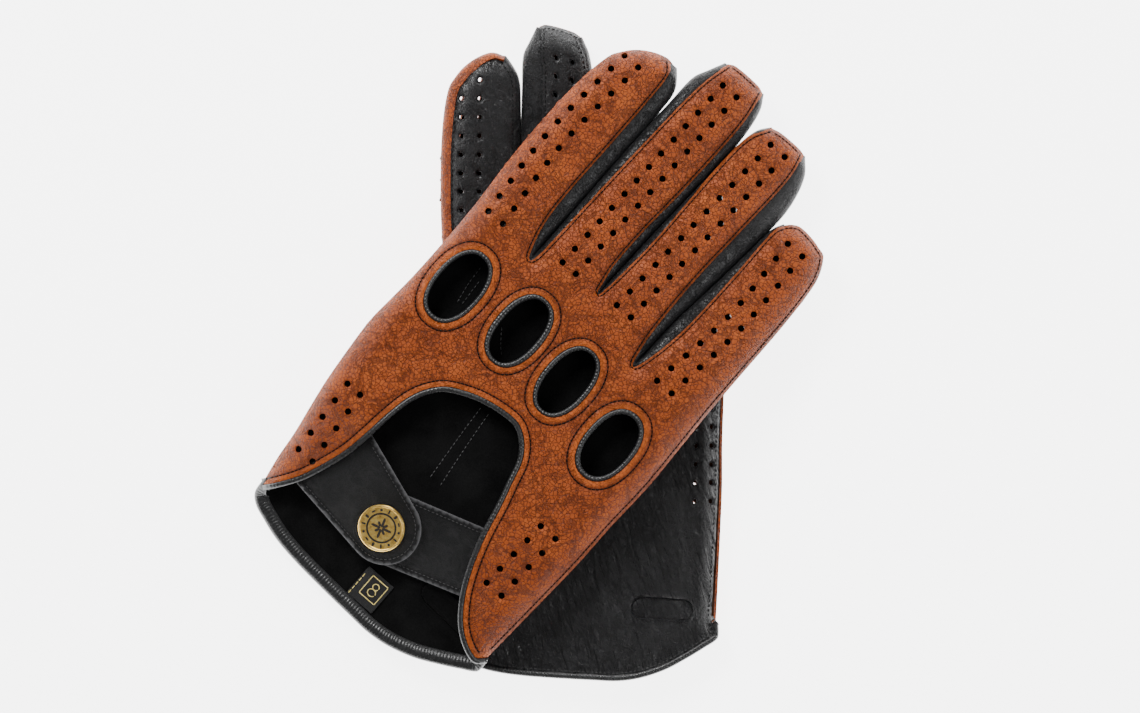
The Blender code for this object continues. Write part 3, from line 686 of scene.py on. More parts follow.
# ---- Fourchettes ----
# Narrow black strips between the fingers: each runs down one finger, round the crotch and
# up the next, sewn to the palm below and tucked under the edge of the back above.
BACK_GAPS = [[(-34.4, 209.3), (-31.7, 206), (-30.9, 200), (-30.8, 175), (-30.8, 150), (-29.8, 140),
              (-27.6, 131.8), (-26.2, 129.3), (-25.3, 131.8), (-24.8, 140), (-24.2, 160), (-23.5, 180),
              (-22.7, 200), (-21.5, 212), (-19.4, 221)],
             [(-4.2, 221.2), (-2.6, 212), (-2.2, 200), (-2.7, 180), (-3.8, 160), (-3.7, 146),
              (-2.6, 138.5), (-1.9, 135.6), (-1.3, 138.5), (-0.8, 143), (0.2, 160), (0.2, 180),
              (0.5, 200), (1.7, 208), (5.2, 214.5)],
             [(19.4, 214.8), (20.9, 208), (21.2, 200), (20.4, 180), (19.6, 160), (20, 140), (21.1, 130),
              (22.5, 125.1), (24.2, 129.5), (26.3, 140), (27.2, 150), (27.7, 170), (27.9, 189),
              (29.6, 193)]]
back_gap_tree = tree_of(*[curve(line, 0.25) for line in BACK_GAPS])


def back_height(u, v):
    return LOFT - max(rounding(reach(outer_tree, u, v), 8.5, 5.3),
                      rounding(reach(back_gap_tree, u, v), 6.5, 2.4))


def lofted(name, rows, outward, thick=LEATHER, closed=False):
    """A leather strip through rows of points, given its thickness away from the outward direction."""
    bm = bmesh.new()
    made = [[bm.verts.new(p) for p in row] for row in rows]
    pairs = list(zip(made, made[1:])) + ([(made[-1], made[0])] if closed else [])
    for a, b in pairs:
        for i in range(len(a) - 1):
            bm.faces.new([a[i], a[i + 1], b[i + 1], b[i]])
    bmesh.ops.remove_doubles(bm, verts=bm.verts, dist=1e-6)
    bm.normal_update()
    bm.faces.ensure_lookup_table()
    probe = bm.faces[len(bm.faces) // 4]
    if probe.normal.dot(outward) < 0:
        bmesh.ops.reverse_faces(bm, faces=bm.faces)
        bm.normal_update()
    return thickened(name, bm, thick)


def facing_points(line, edge, tucked):
    """For each point of the line, the point of the tucked edge at the same share of its height."""
    low, edge_low = int(np.argmin(line[:, 1])), int(np.argmin(edge[:, 1]))
    out = []
    for branch, other, target in ((line[:low + 1], edge[:edge_low + 1], tucked[:edge_low + 1]),
                                  (line[low + 1:][::-1], edge[edge_low:][::-1], tucked[edge_low:][::-1])):
        share = (branch[:, 1] - line[low, 1]) / (branch[0, 1] - line[low, 1])
        wanted = edge[edge_low, 1] + share * (other[0, 1] - edge[edge_low, 1])
        found = np.stack([np.interp(wanted, other[::-1, 1], target[::-1, k]) for k in range(2)], axis=1)
        out.append(found)
    return np.concatenate([out[0], out[1][::-1]])


GAP_NAMES = ("index_middle", "middle_ring", "ring_little")
for side in SIDES:
    place = PLACE[side]
    for k, gap_name in enumerate(GAP_NAMES):
        fold_line = curve(GAPS[k], 1.0)
        feet = aside(fold_line, gap_insets[side][k] + 0.5)
        edge = curve(BACK_GAPS[k], 0.5)
        tucked = aside(edge, 0.7)
        rows = []
        fold_out = aside(fold_line, -0.45)
        for here, foot, top in zip(fold_out, feet, facing_points(fold_line, edge, tucked)):
            top_w = back_height(*top) - 0.55
            foot_w = palm_height(*foot) + 0.5
            mid_w = (top_w + foot_w) / 2
            row = []
            for turn in np.linspace(90, 0, 6):
                a = math.radians(turn)
                row.append((here + (top - here) * (1 - math.cos(a)), mid_w + (top_w - mid_w) * math.sin(a)))
            for turn in np.linspace(18, 90, 5):
                a = math.radians(turn)
                row.append((here + (foot - here) * (1 - math.cos(a)), mid_w + (foot_w - mid_w) * math.sin(a)))
            rows.append([place(p[0], p[1], w) for p, w in row])
        quarter = len(rows) // 4
        first, second = fold_line[quarter], feet[quarter]
        outward = place(first[0], first[1], 4) - place(second[0], second[1], 4)
        piece = lofted(f"{side}_fourchette_{k}", rows, outward, 0.85)
        dress(piece, black_finish, side + "_glove", f"{side}_fourchette_{gap_name}", lining=black_suede_in_shade)

# ---- Back panels ----
# One piece of tan hairsheep for the back and the fingers' backs, punched with double rows of
# vent holes, its edges turned under and top-stitched in black, with four knuckle openings.
tan_finish = leather_finish("tan_leather", (0.18, 0.030, 0.004), (0.33, 0.062, 0.0075),
                            (0.47, 0.105, 0.016), pebble_size=1.25, wrinkle_size=8.0, bump=1.0,
                            rough=0.48, creases=0.8, wrinkles=0.6, gloss=0.3)
lighten_edges(tan_finish, (0.50, 0.105, 0.012, 1), 0.7)
# painted shade: the tan's flesh side is made a deep brown, far darker than the tan, for the shade inside the
# glove
brown_suede_in_shade = suede_finish("brown_suede_in_shade", (0.030, 0.012, 0.007), (0.075, 0.030, 0.016))

KNUCKLES = {"index": ((-38.3, 107.1), (8.55, 13.8), (7.0, 12.2), (11.05, 16.3)),
            "middle": ((-13.5, 109.2), (8.7, 13.7), (6.6, 12.2), (10.8, 16.0)),
            "ring": ((9.2, 106.8), (8.3, 13.4), (6.5, 12.0), (10.7, 15.9)),
            "little": ((33.6, 100.3), (8.7, 13.5), (7.0, 11.7), (11.2, 16.1))}
OPENING = [(-44.4, 15), (-41.7, 18.3), (-36.9, 25.8), (-33.5, 34.2), (-30.9, 42.7), (-29.6, 51), (-28.6, 59.6),
           (-27, 68), (-24.6, 73.8), (-20.5, 79), (-14.5, 82.5), (-7.7, 85), (1.5, 86.5), (7, 86), (12, 82.6),
           (15.5, 77.5), (17.7, 70), (20, 62), (22.6, 51), (26.2, 40.4), (31.2, 30.4), (37.7, 22.7),
           (46, 18.6), (49.2, 21)]
BACK_HOLES = [([(-46.9, 200.5), (-49.2, 166), (-47, 132.3)], 12),
              ([(-40.9, 200.5), (-43.2, 166), (-40.6, 132.3)], 12),
              ([(-16, 214.4), (-17.5, 135.6)], 14), ([(-10, 214.4), (-11.7, 135.6)], 14),
              ([(8.8, 210), (5.2, 136.7)], 13), ([(14.9, 210), (11.3, 136.7)], 13),
              ([(34.5, 189), (35.4, 158), (31.5, 126.6)], 11), ([(40.8, 189), (41.1, 158), (37.8, 126.6)], 11),
              ([(-44.7, 59), (-42.9, 32)], 5), ([(-39.2, 59), (-36.7, 32)], 5),
              ([(34, 65.4), (32.8, 39.6)], 5), ([(40.4, 65.4), (39.3, 39.6)], 5)]
back_holes = rows_of_holes(BACK_HOLES)
back_hole_tree = tree_of(back_holes)
finger_edges = [curve(line, 1.0) for line in BACK_GAPS]
tip_edges = [curve([INDEX_TIP[-3], INDEX_TIP[-2], (-34.4, 209.3)], 1.0),
             curve([(-19.4, 221), (-17, 222.2), (-7, 222.2), (-4.2, 221.2)], 1.0),
             curve([(5.2, 214.5), (9, 215.4), (17, 215.4), (19.4, 214.8)], 1.0)]
back_edge = tidy_loop(np.concatenate([
    curve(INDEX_SIDE, 1.0), curve(INDEX_TIP[:6], 1.0), tip_edges[0], finger_edges[0], tip_edges[1],
    finger_edges[1], tip_edges[2], finger_edges[2], curve(LITTLE_TIP, 1.0), curve(LITTLE_SIDE, 1.0),
    curve(OPENING[::-1], 1.0)]))
# the black top-stitching runs round the fingers, the little side, the opening and each knuckle hole
finger_seams = [aside(curve(line, 0.9), 1.2) for line in BACK_GAPS]
finger_seams.append(aside(curve(LITTLE_TIP + LITTLE_SIDE[1:], 0.9), 1.15)[:-3])
finger_seams += [aside(curve([(-19.4, 221), (-17, 222.2), (-7, 222.2), (-4.2, 221.2)], 0.9), 1.2)[2:-2],
                 aside(curve([(5.2, 214.5), (9, 215.4), (17, 215.4), (19.4, 214.8)], 0.9), 1.2)[2:-2]]
opening_seam = aside(curve(OPENING[::-1], 0.9), 1.9)[3:-3]
knuckle_seams = [ring_of(centre, stitch, 96, 2.25) for centre, _, _, stitch in KNUCKLES.values()]
all_seams = finger_seams + [opening_seam] + knuckle_seams
back_seam_tree = tree_of(*all_seams)
rim_tree = tree_of(curve(OPENING, 0.5), *[ring_of(c, o, 120, 2.25) for c, o, _, _ in KNUCKLES.values()])
edge_tree_tan = tree_of(curve(OPENING, 0.5), *[curve(line, 0.5) for line in BACK_GAPS],
                        *[ring_of(c, o, 120, 2.25) for c, o, _, _ in KNUCKLES.values()])


def back_skin(u, v):
    w = back_height(u, v)
    seam_d = reach(back_seam_tree, u, v)
    w -= 0.30 * math.exp(-(seam_d / 0.36) ** 2)
    rim_d = reach(rim_tree, u, v)
    w += 0.22 * math.exp(-((rim_d - 1.1) / 0.7) ** 2)
    w -= rounding(reach(edge_tree_tan, u, v), 0.6, 0.35)
    hole_d = reach(back_hole_tree, u, v)
    if hole_d < 2.2:
        w -= 0.30 * math.exp(-(max(0.0, hole_d - HOLE) / 0.3) ** 2)
    fade = min(1.0, seam_d / 3.0) * min(1.0, max(0.0, rim_d - 1) / 4.0)
    broad = noise.fractal(Vector((u * 0.045, v * 0.045, 1.0)), 0.9, 2.1, 4)
    folds = noise.noise(Vector((u * 0.22, v * 0.06, 5.0)))
    pucker = noise.noise(Vector((u * 0.5, v * 0.5, 2.0))) * math.exp(-(seam_d - 1.5) ** 2 / 3.0)
    return w + fade * (0.30 * broad + 0.16 * folds) + 0.10 * pucker


def back_fold(u, v):
    d = min(reach(edge_tree_tan, u, v), 5.0)
    return max(0.0, min(1.0, (1.75 - d) / 0.5)) * (1.0 if reach(rim_tree, u, v) < 2.6 else 0.45)


def joined(name, parts):
    """One piece from several meshes of the same leather."""
    bm = bmesh.new()
    for part in parts:
        bm.from_mesh(part.data)
        bpy.data.objects.remove(part)
    return as_object(name, bm)


TURN_UNDER = [(0.6, 5.3), (0.1, 4.4), (0.0, 3.6), (0.25, 2.8), (0.8, 2.0), (1.6, 1.42), (2.5, 1.02), (3.35, 0.78)]
turn_line = curve(INDEX_SIDE + INDEX_TIP[1:], 1.0)
for side in SIDES:
    place = PLACE[side]
    holes = [ring_of(c, o, 80, 2.25) for c, o, _, _ in KNUCKLES.values()]
    seams = finger_seams + [opening_seam] + knuckle_seams
    panel = leather_sheet(side + "_back_sheet", back_edge, holes, back_holes, seams, back_skin, place,
                          1 if side == "right" else -1, fold=back_fold)
    shifted = {}
    for inset, w in TURN_UNDER:
        shrink = np.clip((len(turn_line) - np.arange(len(turn_line))) / 14, 0, 1)
        shifted[(inset, w)] = aside(turn_line, inset * (0.35 + 0.65 * shrink))
    rows = [[place(*shifted[key][i], key[1]) for key in TURN_UNDER] for i in range(len(turn_line))]
    middle = len(turn_line) // 2
    out_way = place(*turn_line[middle], 4) - place(*aside(turn_line, 3.0)[middle], 4)
    flap = lofted(side + "_back_turn", rows, out_way, 0.9)
    piece = joined(side + "_back", [panel, flap])
    dress(piece, tan_finish, side + "_glove", side + "_back_panel", slot="tan_leather", lining=brown_suede_in_shade)

# ---- Seam thread ----
# Fine black bonded thread in lock stitches; each stitch dips into the leather at both ends.
def speckled_finish(name, scale, stops, rough, gloss=0.5, detail=2.0, raised=True):
    """A finish coloured by one fine noise, which also raises it."""
    made, tree, shader = new_finish(name, gloss)
    speckle = noise_in(tree, spot_in(tree), scale, detail)
    tree.links.new(ramp_of(tree, speckle, stops), shader.inputs["Base Color"])
    shader.inputs["Roughness"].default_value = rough
    if raised:
        relief(tree, shader, speckle, 0.05 * MM)
    return made


thread_finish = speckled_finish("black_thread", 3000.0, [(0.35, (0.0015, 0.0015, 0.0015)),
                                                         (0.7, (0.005, 0.005, 0.005))], 0.45, 0.08)
# painted highlight: the black thread is coloured grey so its stitches read as catching the light
thread_with_painted_highlight = speckled_finish("highlighted_thread", 3000.0, [(0.35, (0.012, 0.012, 0.0125)),
                                                       (0.7, (0.060, 0.060, 0.062))], 0.45, 0.6)


def spindle():
    """One stitch along X, a unit long each way: its points and its faces."""
    bm = bmesh.new()
    bmesh.ops.create_uvsphere(bm, u_segments=6, v_segments=4, radius=1)
    points = np.array([(p.co.z, p.co.x, p.co.y) for p in bm.verts])
    faces = [[p.index for p in f.verts] for f in bm.faces]
    bm.free()
    return points, faces


def stamped(name, template, frames):
    """Copies of one small shape, each set by a 3x3 matrix and a place."""
    points, faces = template
    rows = [points @ np.array(turn).T + np.array(spot) for turn, spot in frames]
    every = [[i + k * len(points) for i in f] for k in range(len(rows)) for f in faces]
    mesh = bpy.data.meshes.new(name + "_parts")
    mesh.from_pydata(np.concatenate(rows).tolist(), [], every)
    bm = bmesh.new()
    bm.from_mesh(mesh)
    bpy.data.meshes.remove(mesh)
    return as_object(name, bm)


def stitch_row(name, lines, height, place, outward, pitch=1.4, length=1.32, thick=0.26, lift=0.03):
    """A row of stitches along each pattern line."""
    frames = []
    for line in lines:
        gaps = np.linalg.norm(np.diff(line, axis=0), axis=1)
        run = np.concatenate([[0], np.cumsum(gaps)])
        for s in np.arange(pitch / 2, run[-1] - length / 2, pitch):
            ends = [(np.interp(s + o, run, line[:, 0]), np.interp(s + o, run, line[:, 1]))
                    for o in (-length / 2, length / 2)]
            a, b = [place(u, v, height(u, v) + lift * outward) for u, v in ends]
            turn = (b - a).to_track_quat("X", "Z").to_matrix()
            frames.append((turn @ Matrix.Diagonal(((b - a).length / 2, thick * MM, thick * MM)), (a + b) / 2))
    return stamped(name, spindle(), frames)


MOUTH_TOP, MOUTH_HALF = 17, 47.5  # the palm's edge below and between these is the cuff's, not a seam
for side in SIDES:
    place = PLACE[side]
    loops = [np.concatenate([ring, ring[:1]]) for ring in knuckle_seams]
    piece = stitch_row(side + "_back_stitches", finger_seams + [opening_seam] + loops, back_skin, place, 1)
    dress(piece, thread_finish, side + "_glove", slot="black_leather")
for side, outline, skin in palm_seams:
    seam = aside(outline, 1.0, closed=True)
    keep = ~((seam[:, 1] < MOUTH_TOP) & (np.abs(seam[:, 0]) < MOUTH_HALF))
    start = int(np.argmin(keep))
    seam = np.roll(seam, -start, axis=0)
    keep = np.roll(keep, -start)
    piece = stitch_row(side + "_palm_stitches", [seam[keep]], skin, PLACE[side], -1, 1.6, 1.15, 0.15)
    dress(piece, thread_finish, side + "_glove", slot="black_leather")

# ---- Knuckle bindings ----
# Narrow strips of fine black leather rolled round the rim of each knuckle opening, gathered
# into tiny puckers where they turn, the raw edge sewn flat under the back panel.
binding_finish = leather_finish("binding_leather", (0.0045, 0.0045, 0.005), (0.009, 0.009, 0.0095),
                                (0.018, 0.018, 0.019), pebble_size=0.9, wrinkle_size=5.0, bump=0.12,
                                rough=0.26, creases=0.2, wrinkles=0.1, gloss=0.6)
# round the section from the tan edge over the roll and back under: share of the strip's width, rise, pucker
ROLL = [(0.96, -0.95, 0), (0.96, -0.12, 0.4), (0.81, 0.20, 1), (0.53, 0.36, 1), (0.24, 0.24, 1), (0.01, -0.12, 1),
        (-0.04, -0.62, 0.6), (0.12, -1.12, 0.3), (0.44, -1.36, 0), (2.1, -1.36, 0), (2.1, -1.02, 0)]


def gathers(line, pitch, depth):
    """Rise of fine puckers along a line, in mm."""
    step = np.linalg.norm(np.diff(np.vstack([line, line[:1]]), axis=0), axis=1)
    run = np.concatenate([[0], np.cumsum(step)])
    turns = round(run[-1] / pitch)
    shift = np.array([noise.noise(Vector((p[0] * 0.4, p[1] * 0.4, 7.0))) for p in line])
    size = np.array([noise.noise(Vector((p[0] * 0.9, p[1] * 0.9, 4.0))) for p in line])
    wave = np.cos(2 * math.pi * (turns * run[:-1] / run[-1] + 0.3 * shift))
    return depth * (0.5 * wave - 0.1) * (1 + 0.5 * size)


def rolled(name, section, base, place, closed=True):
    """Leather rolled round an edge; section holds (line, rise) all the way round it."""
    bm = bmesh.new()
    rows = [[bm.verts.new(place(p[0], p[1], b + r)) for p, b, r in zip(line, base, rise)]
            for line, rise in section]
    n = len(base)
    for row, after in zip(rows, rows[1:] + rows[:1]):
        for i in range(n if closed else n - 1):
            j = (i + 1) % n
            bm.faces.new([row[i], row[j], after[j], after[i]])
    if not closed:
        bm.faces.new([row[0] for row in rows])
        bm.faces.new([row[-1] for row in rows])
    bmesh.ops.recalc_face_normals(bm, faces=bm.faces)
    return as_object(name, bm, 80)


for side in SIDES:
    for key, (centre, outer, inner, _) in KNUCKLES.items():
        rails = [ring_of(centre, (inner[0] + (outer[0] - inner[0]) * t, inner[1] + (outer[1] - inner[1]) * t),
                         280, 2.25) for t, _, _ in ROLL]
        middle = ring_of(centre, ((outer[0] + inner[0]) / 2, (outer[1] + inner[1]) / 2), 280, 2.25)
        puckers = gathers(middle, 1.2, 0.15)
        section = [(rail, rise + share * puckers) for rail, (_, rise, share) in zip(rails, ROLL)]
        piece = rolled(f"{side}_knuckle_roll_{key}", section, [back_height(*p) for p in middle], PLACE[side])
        dress(piece, binding_finish, side + "_glove", f"{side}_knuckle_binding_{key}", slot="binding_leather")

# ---- Opening bindings ----
# The same rolled strip round the wrist opening, a little wider, from one cuff corner over the
# back of the hand to the other.
opening_line = curve(OPENING, 0.28)
opening_puckers = gathers(opening_line, 1.3, 0.10)
opening_base = [back_height(*p) for p in opening_line]
for side in SIDES:
    section = [(aside(opening_line, 1.85 * (1 - t)), rise + share * opening_puckers) for t, rise, share in ROLL]
    piece = rolled(side + "_opening_roll", section, opening_base, PLACE[side], closed=False)
    dress(piece, binding_finish, side + "_glove", side + "_opening_binding", slot="binding_leather")

# ---- Cuff bindings ----
# A wider strip rolled round the raw edge of the palm at the wrist, ribbed by its fine gathers,
# lying flat inside where a row of stitches holds it; its ends rise to meet the opening's strip.
CUFF_ROLL = [(4.9, 0.98, 0), (4.9, 1.36, 0), (3.95, 1.40, 0.2), (3.3, 1.75, 1), (2.3, 2.0, 1), (1.1, 1.88, 1),
             (0.25, 1.4, 1), (0.0, 0.6, 1), (0.25, -0.2, 1), (1.0, -0.55, 1), (1.75, -0.5, 0.6), (2.0, -0.02, 0)]
cuff_line = curve([(-45.4, 17.2)] + CUFF_EDGE[:-1] + [(49.7, 15.0), (50.2, 17.6), (50.0, 20.4)], 0.2)
cuff_run = np.concatenate([[0], np.cumsum(np.linalg.norm(np.diff(cuff_line, axis=0), axis=1))])
from_end = np.minimum(cuff_run, cuff_run[-1] - cuff_run)
cuff_rise = 3.0 * np.clip(1 - from_end / 8, 0, 1) ** 1.5
cuff_width = np.clip(0.4 + from_end / 12, 0, 1)
cuff_base = np.array([palm_height(*p) for p in cuff_line]) * 0.5 + cuff_rise
cuff_puckers = gathers(cuff_line, 1.1, 0.14) * np.clip(from_end / 6, 0, 1)


def cuff_inside(u, v):
    return palm_height(u, v) * 0.5 + 1.36


cuff_seam = aside(curve(CUFF_EDGE, 0.9), -4.35)[4:-4]
cuff_outer_seam = aside(curve(CUFF_EDGE, 0.9), -2.7)[3:-3]
for side, _, skin in palm_seams:
    section = [(aside(cuff_line, -d * cuff_width), rise + share * cuff_puckers)
               for d, rise, share in CUFF_ROLL]
    piece = rolled(side + "_cuff_roll", section, cuff_base, PLACE[side], closed=False)
    dress(piece, binding_finish, side + "_glove", side + "_cuff_binding", slot="binding_leather")
    piece = stitch_row(side + "_cuff_stitches", [cuff_seam], cuff_inside, PLACE[side], 1, 1.5, 1.15, 0.16)
    dress(piece, thread_with_painted_highlight, side + "_glove", slot="black_leather")
    piece = stitch_row(side + "_cuff_edge_stitches", [cuff_outer_seam], skin, PLACE[side], -1, 1.5, 1.15, 0.16)
    dress(piece, thread_with_painted_highlight, side + "_glove", slot="black_leather")

# ---- Seams inside the palm ----
# Pairs of stitch lines that shape the palm, sewn right through it, so they show on both faces.
POINTS = [[(-6.5, 82), (-5.6, 70), (-3.9, 52)], [(-3.2, 82), (-1.9, 70), (0.5, 52)],
          [(-36.9, 117), (-36.4, 110), (-35, 102)], [(-34.2, 113), (-33.9, 108), (-33.5, 103)],
          [(-18.8, 106.5), (-15.6, 102.2), (-11.9, 98.5)]]


def palm_inside(u, v):
    n = noise.fractal(Vector((u * 0.05, v * 0.05, 3.0)), 0.9, 2.1, 4)
    fold = noise.noise(Vector((u * 0.16, v * 0.035, 9.0)))
    return palm_height(u, v) - 0.22 * n - 0.16 * fold + LEATHER


for side, _, skin in palm_seams:
    lines = [curve(points, 0.9) for points in POINTS]
    piece = stitch_row(side + "_palm_points", lines, palm_inside, PLACE[side], 1, 1.6, 1.3, 0.2, 0.1)
    dress(piece, thread_with_painted_highlight, side + "_glove", slot="black_leather")
    piece = stitch_row(side + "_palm_points_outside", lines, skin, PLACE[side], -1, 1.6, 1.3, 0.18)
    dress(piece, thread_with_painted_highlight, side + "_glove", slot="black_leather")

# ---- Inner straps ----
# The fixed half of the wrist closure: a smooth black tab sewn under the opening's little-finger
# edge, lying across the opening; it carries the stud of the snap.
strap_finish = leather_finish("strap_leather", (0.003, 0.003, 0.0033), (0.0062, 0.0062, 0.0067),
                              (0.011, 0.011, 0.0115), pebble_size=0.5, wrinkle_size=6.0, bump=0.6,
                              rough=0.34, creases=0.25, wrinkles=0.05, gloss=0.22)
# painted highlight: the strap's cut edge is coloured pale grey where it catches the light
lighten_edges(strap_finish, (0.13, 0.13, 0.135, 1), 0.9)
SNAP = (-4.8, 32.5)
STRAP_THICK = 1.1
INNER_TOP, OUTER_TOP = 4.5, 7.9


def snap_frame(side):
    """Flat frame of the closure, touching the glove under the snap."""
    place = PLACE[side]
    u0, v0 = SNAP
    origin = place(u0, v0, 0)
    across = (place(u0 + 1, v0, 0) - place(u0 - 1, v0, 0)).normalized()
    along = place(u0, v0 + 1, 0) - place(u0, v0 - 1, 0)
    along = (along - across * along.dot(across)).normalized()
    up = across.cross(along)
    if up.dot(place(u0, v0, 1) - origin) < 0:
        up = -up
    return lambda u, v, w: origin + (across * (u - u0) + along * (v - v0) + up * w) * MM


def tab_outline(centre, radius, roots):
    """A tab with a round end and straight sides running to its two root corners."""
    points = sorted(tuple(p) for p in np.vstack([ring_of(centre, (radius, radius), 120), roots]))
    loop = []
    for part in (points, points[::-1]):
        chain = []
        for p in part:
            while len(chain) > 1:
                (ax, ay), (bx, by) = chain[-2], chain[-1]
                if (bx - ax) * (p[1] - ay) - (by - ay) * (p[0] - ax) > 0:
                    break
                chain.pop()
            chain.append(p)
        loop += chain[:-1]
    return evenly(np.array(loop), 0.7)


def tab_edge(outline):
    """Marks the cut edge of a tab, where a painted highlight lightens it."""
    edge_tree = tree_of(outline)
    return lambda u, v: math.exp(-(reach(edge_tree, u, v) / 0.3) ** 2)


def tab_skin(outline, seam, top):
    """Outer face of a tab: rounded at its cut edge, pressed down along its stitches."""
    edge_tree, seam_tree = tree_of(outline), tree_of(seam)

    def skin(u, v):
        pad = 0.10 * min(1.0, reach(seam_tree, u, v) / 3)
        dip = 0.16 * math.exp(-(reach(seam_tree, u, v) / 0.4) ** 2)
        return top + pad - dip - rounding(reach(edge_tree, u, v), 0.7, 0.35)
    return skin


inner_tab = tab_outline(SNAP, 12.5, [(24.6, 55.5), (34.1, 33.0)])
inner_tab_seam = aside(inner_tab, -1.9, closed=True)
inner_skin = tab_skin(inner_tab, inner_tab_seam, INNER_TOP)
frames = {side: snap_frame(side) for side in SIDES}
facing = {"left": -1, "right": 1}
for side in SIDES:
    piece = leather_sheet(side + "_inner_tab", inner_tab, [], [], [inner_tab_seam], inner_skin, frames[side],
                          facing[side], STRAP_THICK, 1.0, fold=tab_edge(inner_tab))
    dress(piece, strap_finish, side + "_glove", side + "_strap_inner", lining=black_suede_in_shade)
    ring = np.vstack([inner_tab_seam, inner_tab_seam[:1]])
    piece = stitch_row(side + "_inner_tab_stitches", [ring], inner_skin, frames[side], 1, 1.45, 1.1, 0.16)
    dress(piece, thread_with_painted_highlight, side + "_glove", slot="black_leather")

# ---- Outer straps ----
# The free half: a tapering tab rooted under the opening's index edge, edged with one row of
# stitches.
ROOT_MIDDLE = np.array((-28.25, 37.8))
ROOT_ALONG = np.array((0.2816, 0.9595))
ROOT_OUT = np.array((-0.9595, 0.2816))
HINGE_LEVEL = 9.0
roots = [ROOT_MIDDLE + ROOT_ALONG * 15.9 + ROOT_OUT * 4.5, ROOT_MIDDLE - ROOT_ALONG * 14.9 + ROOT_OUT * 4.5]
outer_tab = tab_outline((-4.2, 32.8), 12.5, roots)
outer_tab_seam = aside(outer_tab, -1.9, closed=True)
outer_skin = tab_skin(outer_tab, outer_tab_seam, OUTER_TOP)
sewn = outer_tab_seam[(outer_tab_seam - ROOT_MIDDLE) @ ROOT_OUT < 1.5]
gap_at = int(np.argmax(np.linalg.norm(np.diff(np.vstack([sewn, sewn[:1]]), axis=0), axis=1)))
sewn = np.roll(sewn, -gap_at - 1, axis=0)
for side in SIDES:
    at = frames[side]
    hinge = at(ROOT_MIDDLE[0], ROOT_MIDDLE[1], HINGE_LEVEL)
    tabwards = (at(*(ROOT_MIDDLE - ROOT_OUT), HINGE_LEVEL) - hinge).normalized()
    tab = leather_sheet(side + "_outer_tab", outer_tab, [], [], [outer_tab_seam], outer_skin, at, facing[side],
                        STRAP_THICK, 1.0, fold=tab_edge(outer_tab))
    tab.data.materials.append(strap_finish)
    tab.data.materials.append(black_suede_in_shade)
    thread = stitch_row(side + "_outer_tab_stitches", [sewn], outer_skin, at, 1, 1.45, 1.1, 0.16)
    thread.data.materials.append(thread_with_painted_highlight)
    for piece in (tab, thread):
        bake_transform(piece)
    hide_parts(side + "_strap_outer")

# ---- Snaps ----
# Ring snap in antiqued brass. The cap is stamped with a rim, a dark groove and a ring of plain
# marks round a small star, and is riveted through the strap; socket, stud and post are bare.
brass_finish, brass_tree, brass_shader = new_finish("brass")
tarnish = noise_in(brass_tree, spot_in(brass_tree), 900.0, 5.0, Roughness=0.65)
brass_colours = ramp_of(brass_tree, tarnish, [(0.22, (0.45, 0.25, 0.05)), (0.5, (0.86, 0.56, 0.15)),
                                              (0.75, (1.0, 0.80, 0.30))])
brass_tree.links.new(brass_colours, brass_shader.inputs["Base Color"])
brass_shader.inputs["Metallic"].default_value = 1.0
brass_rough = math_node(brass_tree, "MULTIPLY_ADD", tarnish, 0.25, 0.2)
brass_tree.links.new(brass_rough, brass_shader.inputs["Roughness"])
relief(brass_tree, brass_shader, tarnish, 0.06 * MM, 0.6)
patina_finish = speckled_finish("dark_patina", 1500.0, [(0.35, (0.006, 0.005, 0.004)),
                                                        (0.7, (0.030, 0.019, 0.008))],
                                0.6, detail=3.0, raised=False)

CAP = [(0, 9.20), (4.5, 9.20), (4.62, 9.04), (5.02, 9.04), (5.14, 9.26), (5.3, 9.30), (6.95, 9.32), (7.1, 9.56),
       (7.35, 9.70), (7.62, 9.68), (7.84, 9.48), (7.9, 9.2), (7.9, 8.5), (7.6, 8.2), (1.6, 8.2),
       (1.6, 6.4), (0, 6.4)]
GROOVE = (4.55, 5.08)


def turned(name, profile, at, centre, steps=96):
    """A turned part: the profile of (radius, level) spun round its axis."""
    bm = bmesh.new()
    chain = [bm.verts.new((r, 0, w)) for r, w in profile]
    edges = [bm.edges.new(pair) for pair in zip(chain, chain[1:])]
    bmesh.ops.spin(bm, geom=chain + edges, cent=(0, 0, 0), axis=(0, 0, 1), dvec=(0, 0, 0), angle=2 * math.pi,
                   steps=steps, use_merge=True)
    bmesh.ops.remove_doubles(bm, verts=bm.verts, dist=1e-4)
    for face in bm.faces:
        middle = face.calc_center_median()
        radius = math.hypot(middle.x, middle.y)
        face.material_index = int(middle.z > 8.9 and GROOVE[0] < radius < GROOVE[1])
    for p in bm.verts:
        p.co = at(centre[0] + p.co.x, centre[1] + p.co.y, p.co.z)
    bmesh.ops.recalc_face_normals(bm, faces=bm.faces)
    return as_object(name, bm, 35)


def lozenge():
    """A small plate with softened corners, one unit each way."""
    bm = bmesh.new()
    bmesh.ops.create_cube(bm, size=2)
    bmesh.ops.bevel(bm, geom=bm.edges[:], offset=0.3, segments=2, affect="EDGES")
    points = np.array([tuple(p.co) for p in bm.verts])
    faces = [[p.index for p in f.verts] for f in bm.faces]
    bm.free()
    return points, faces


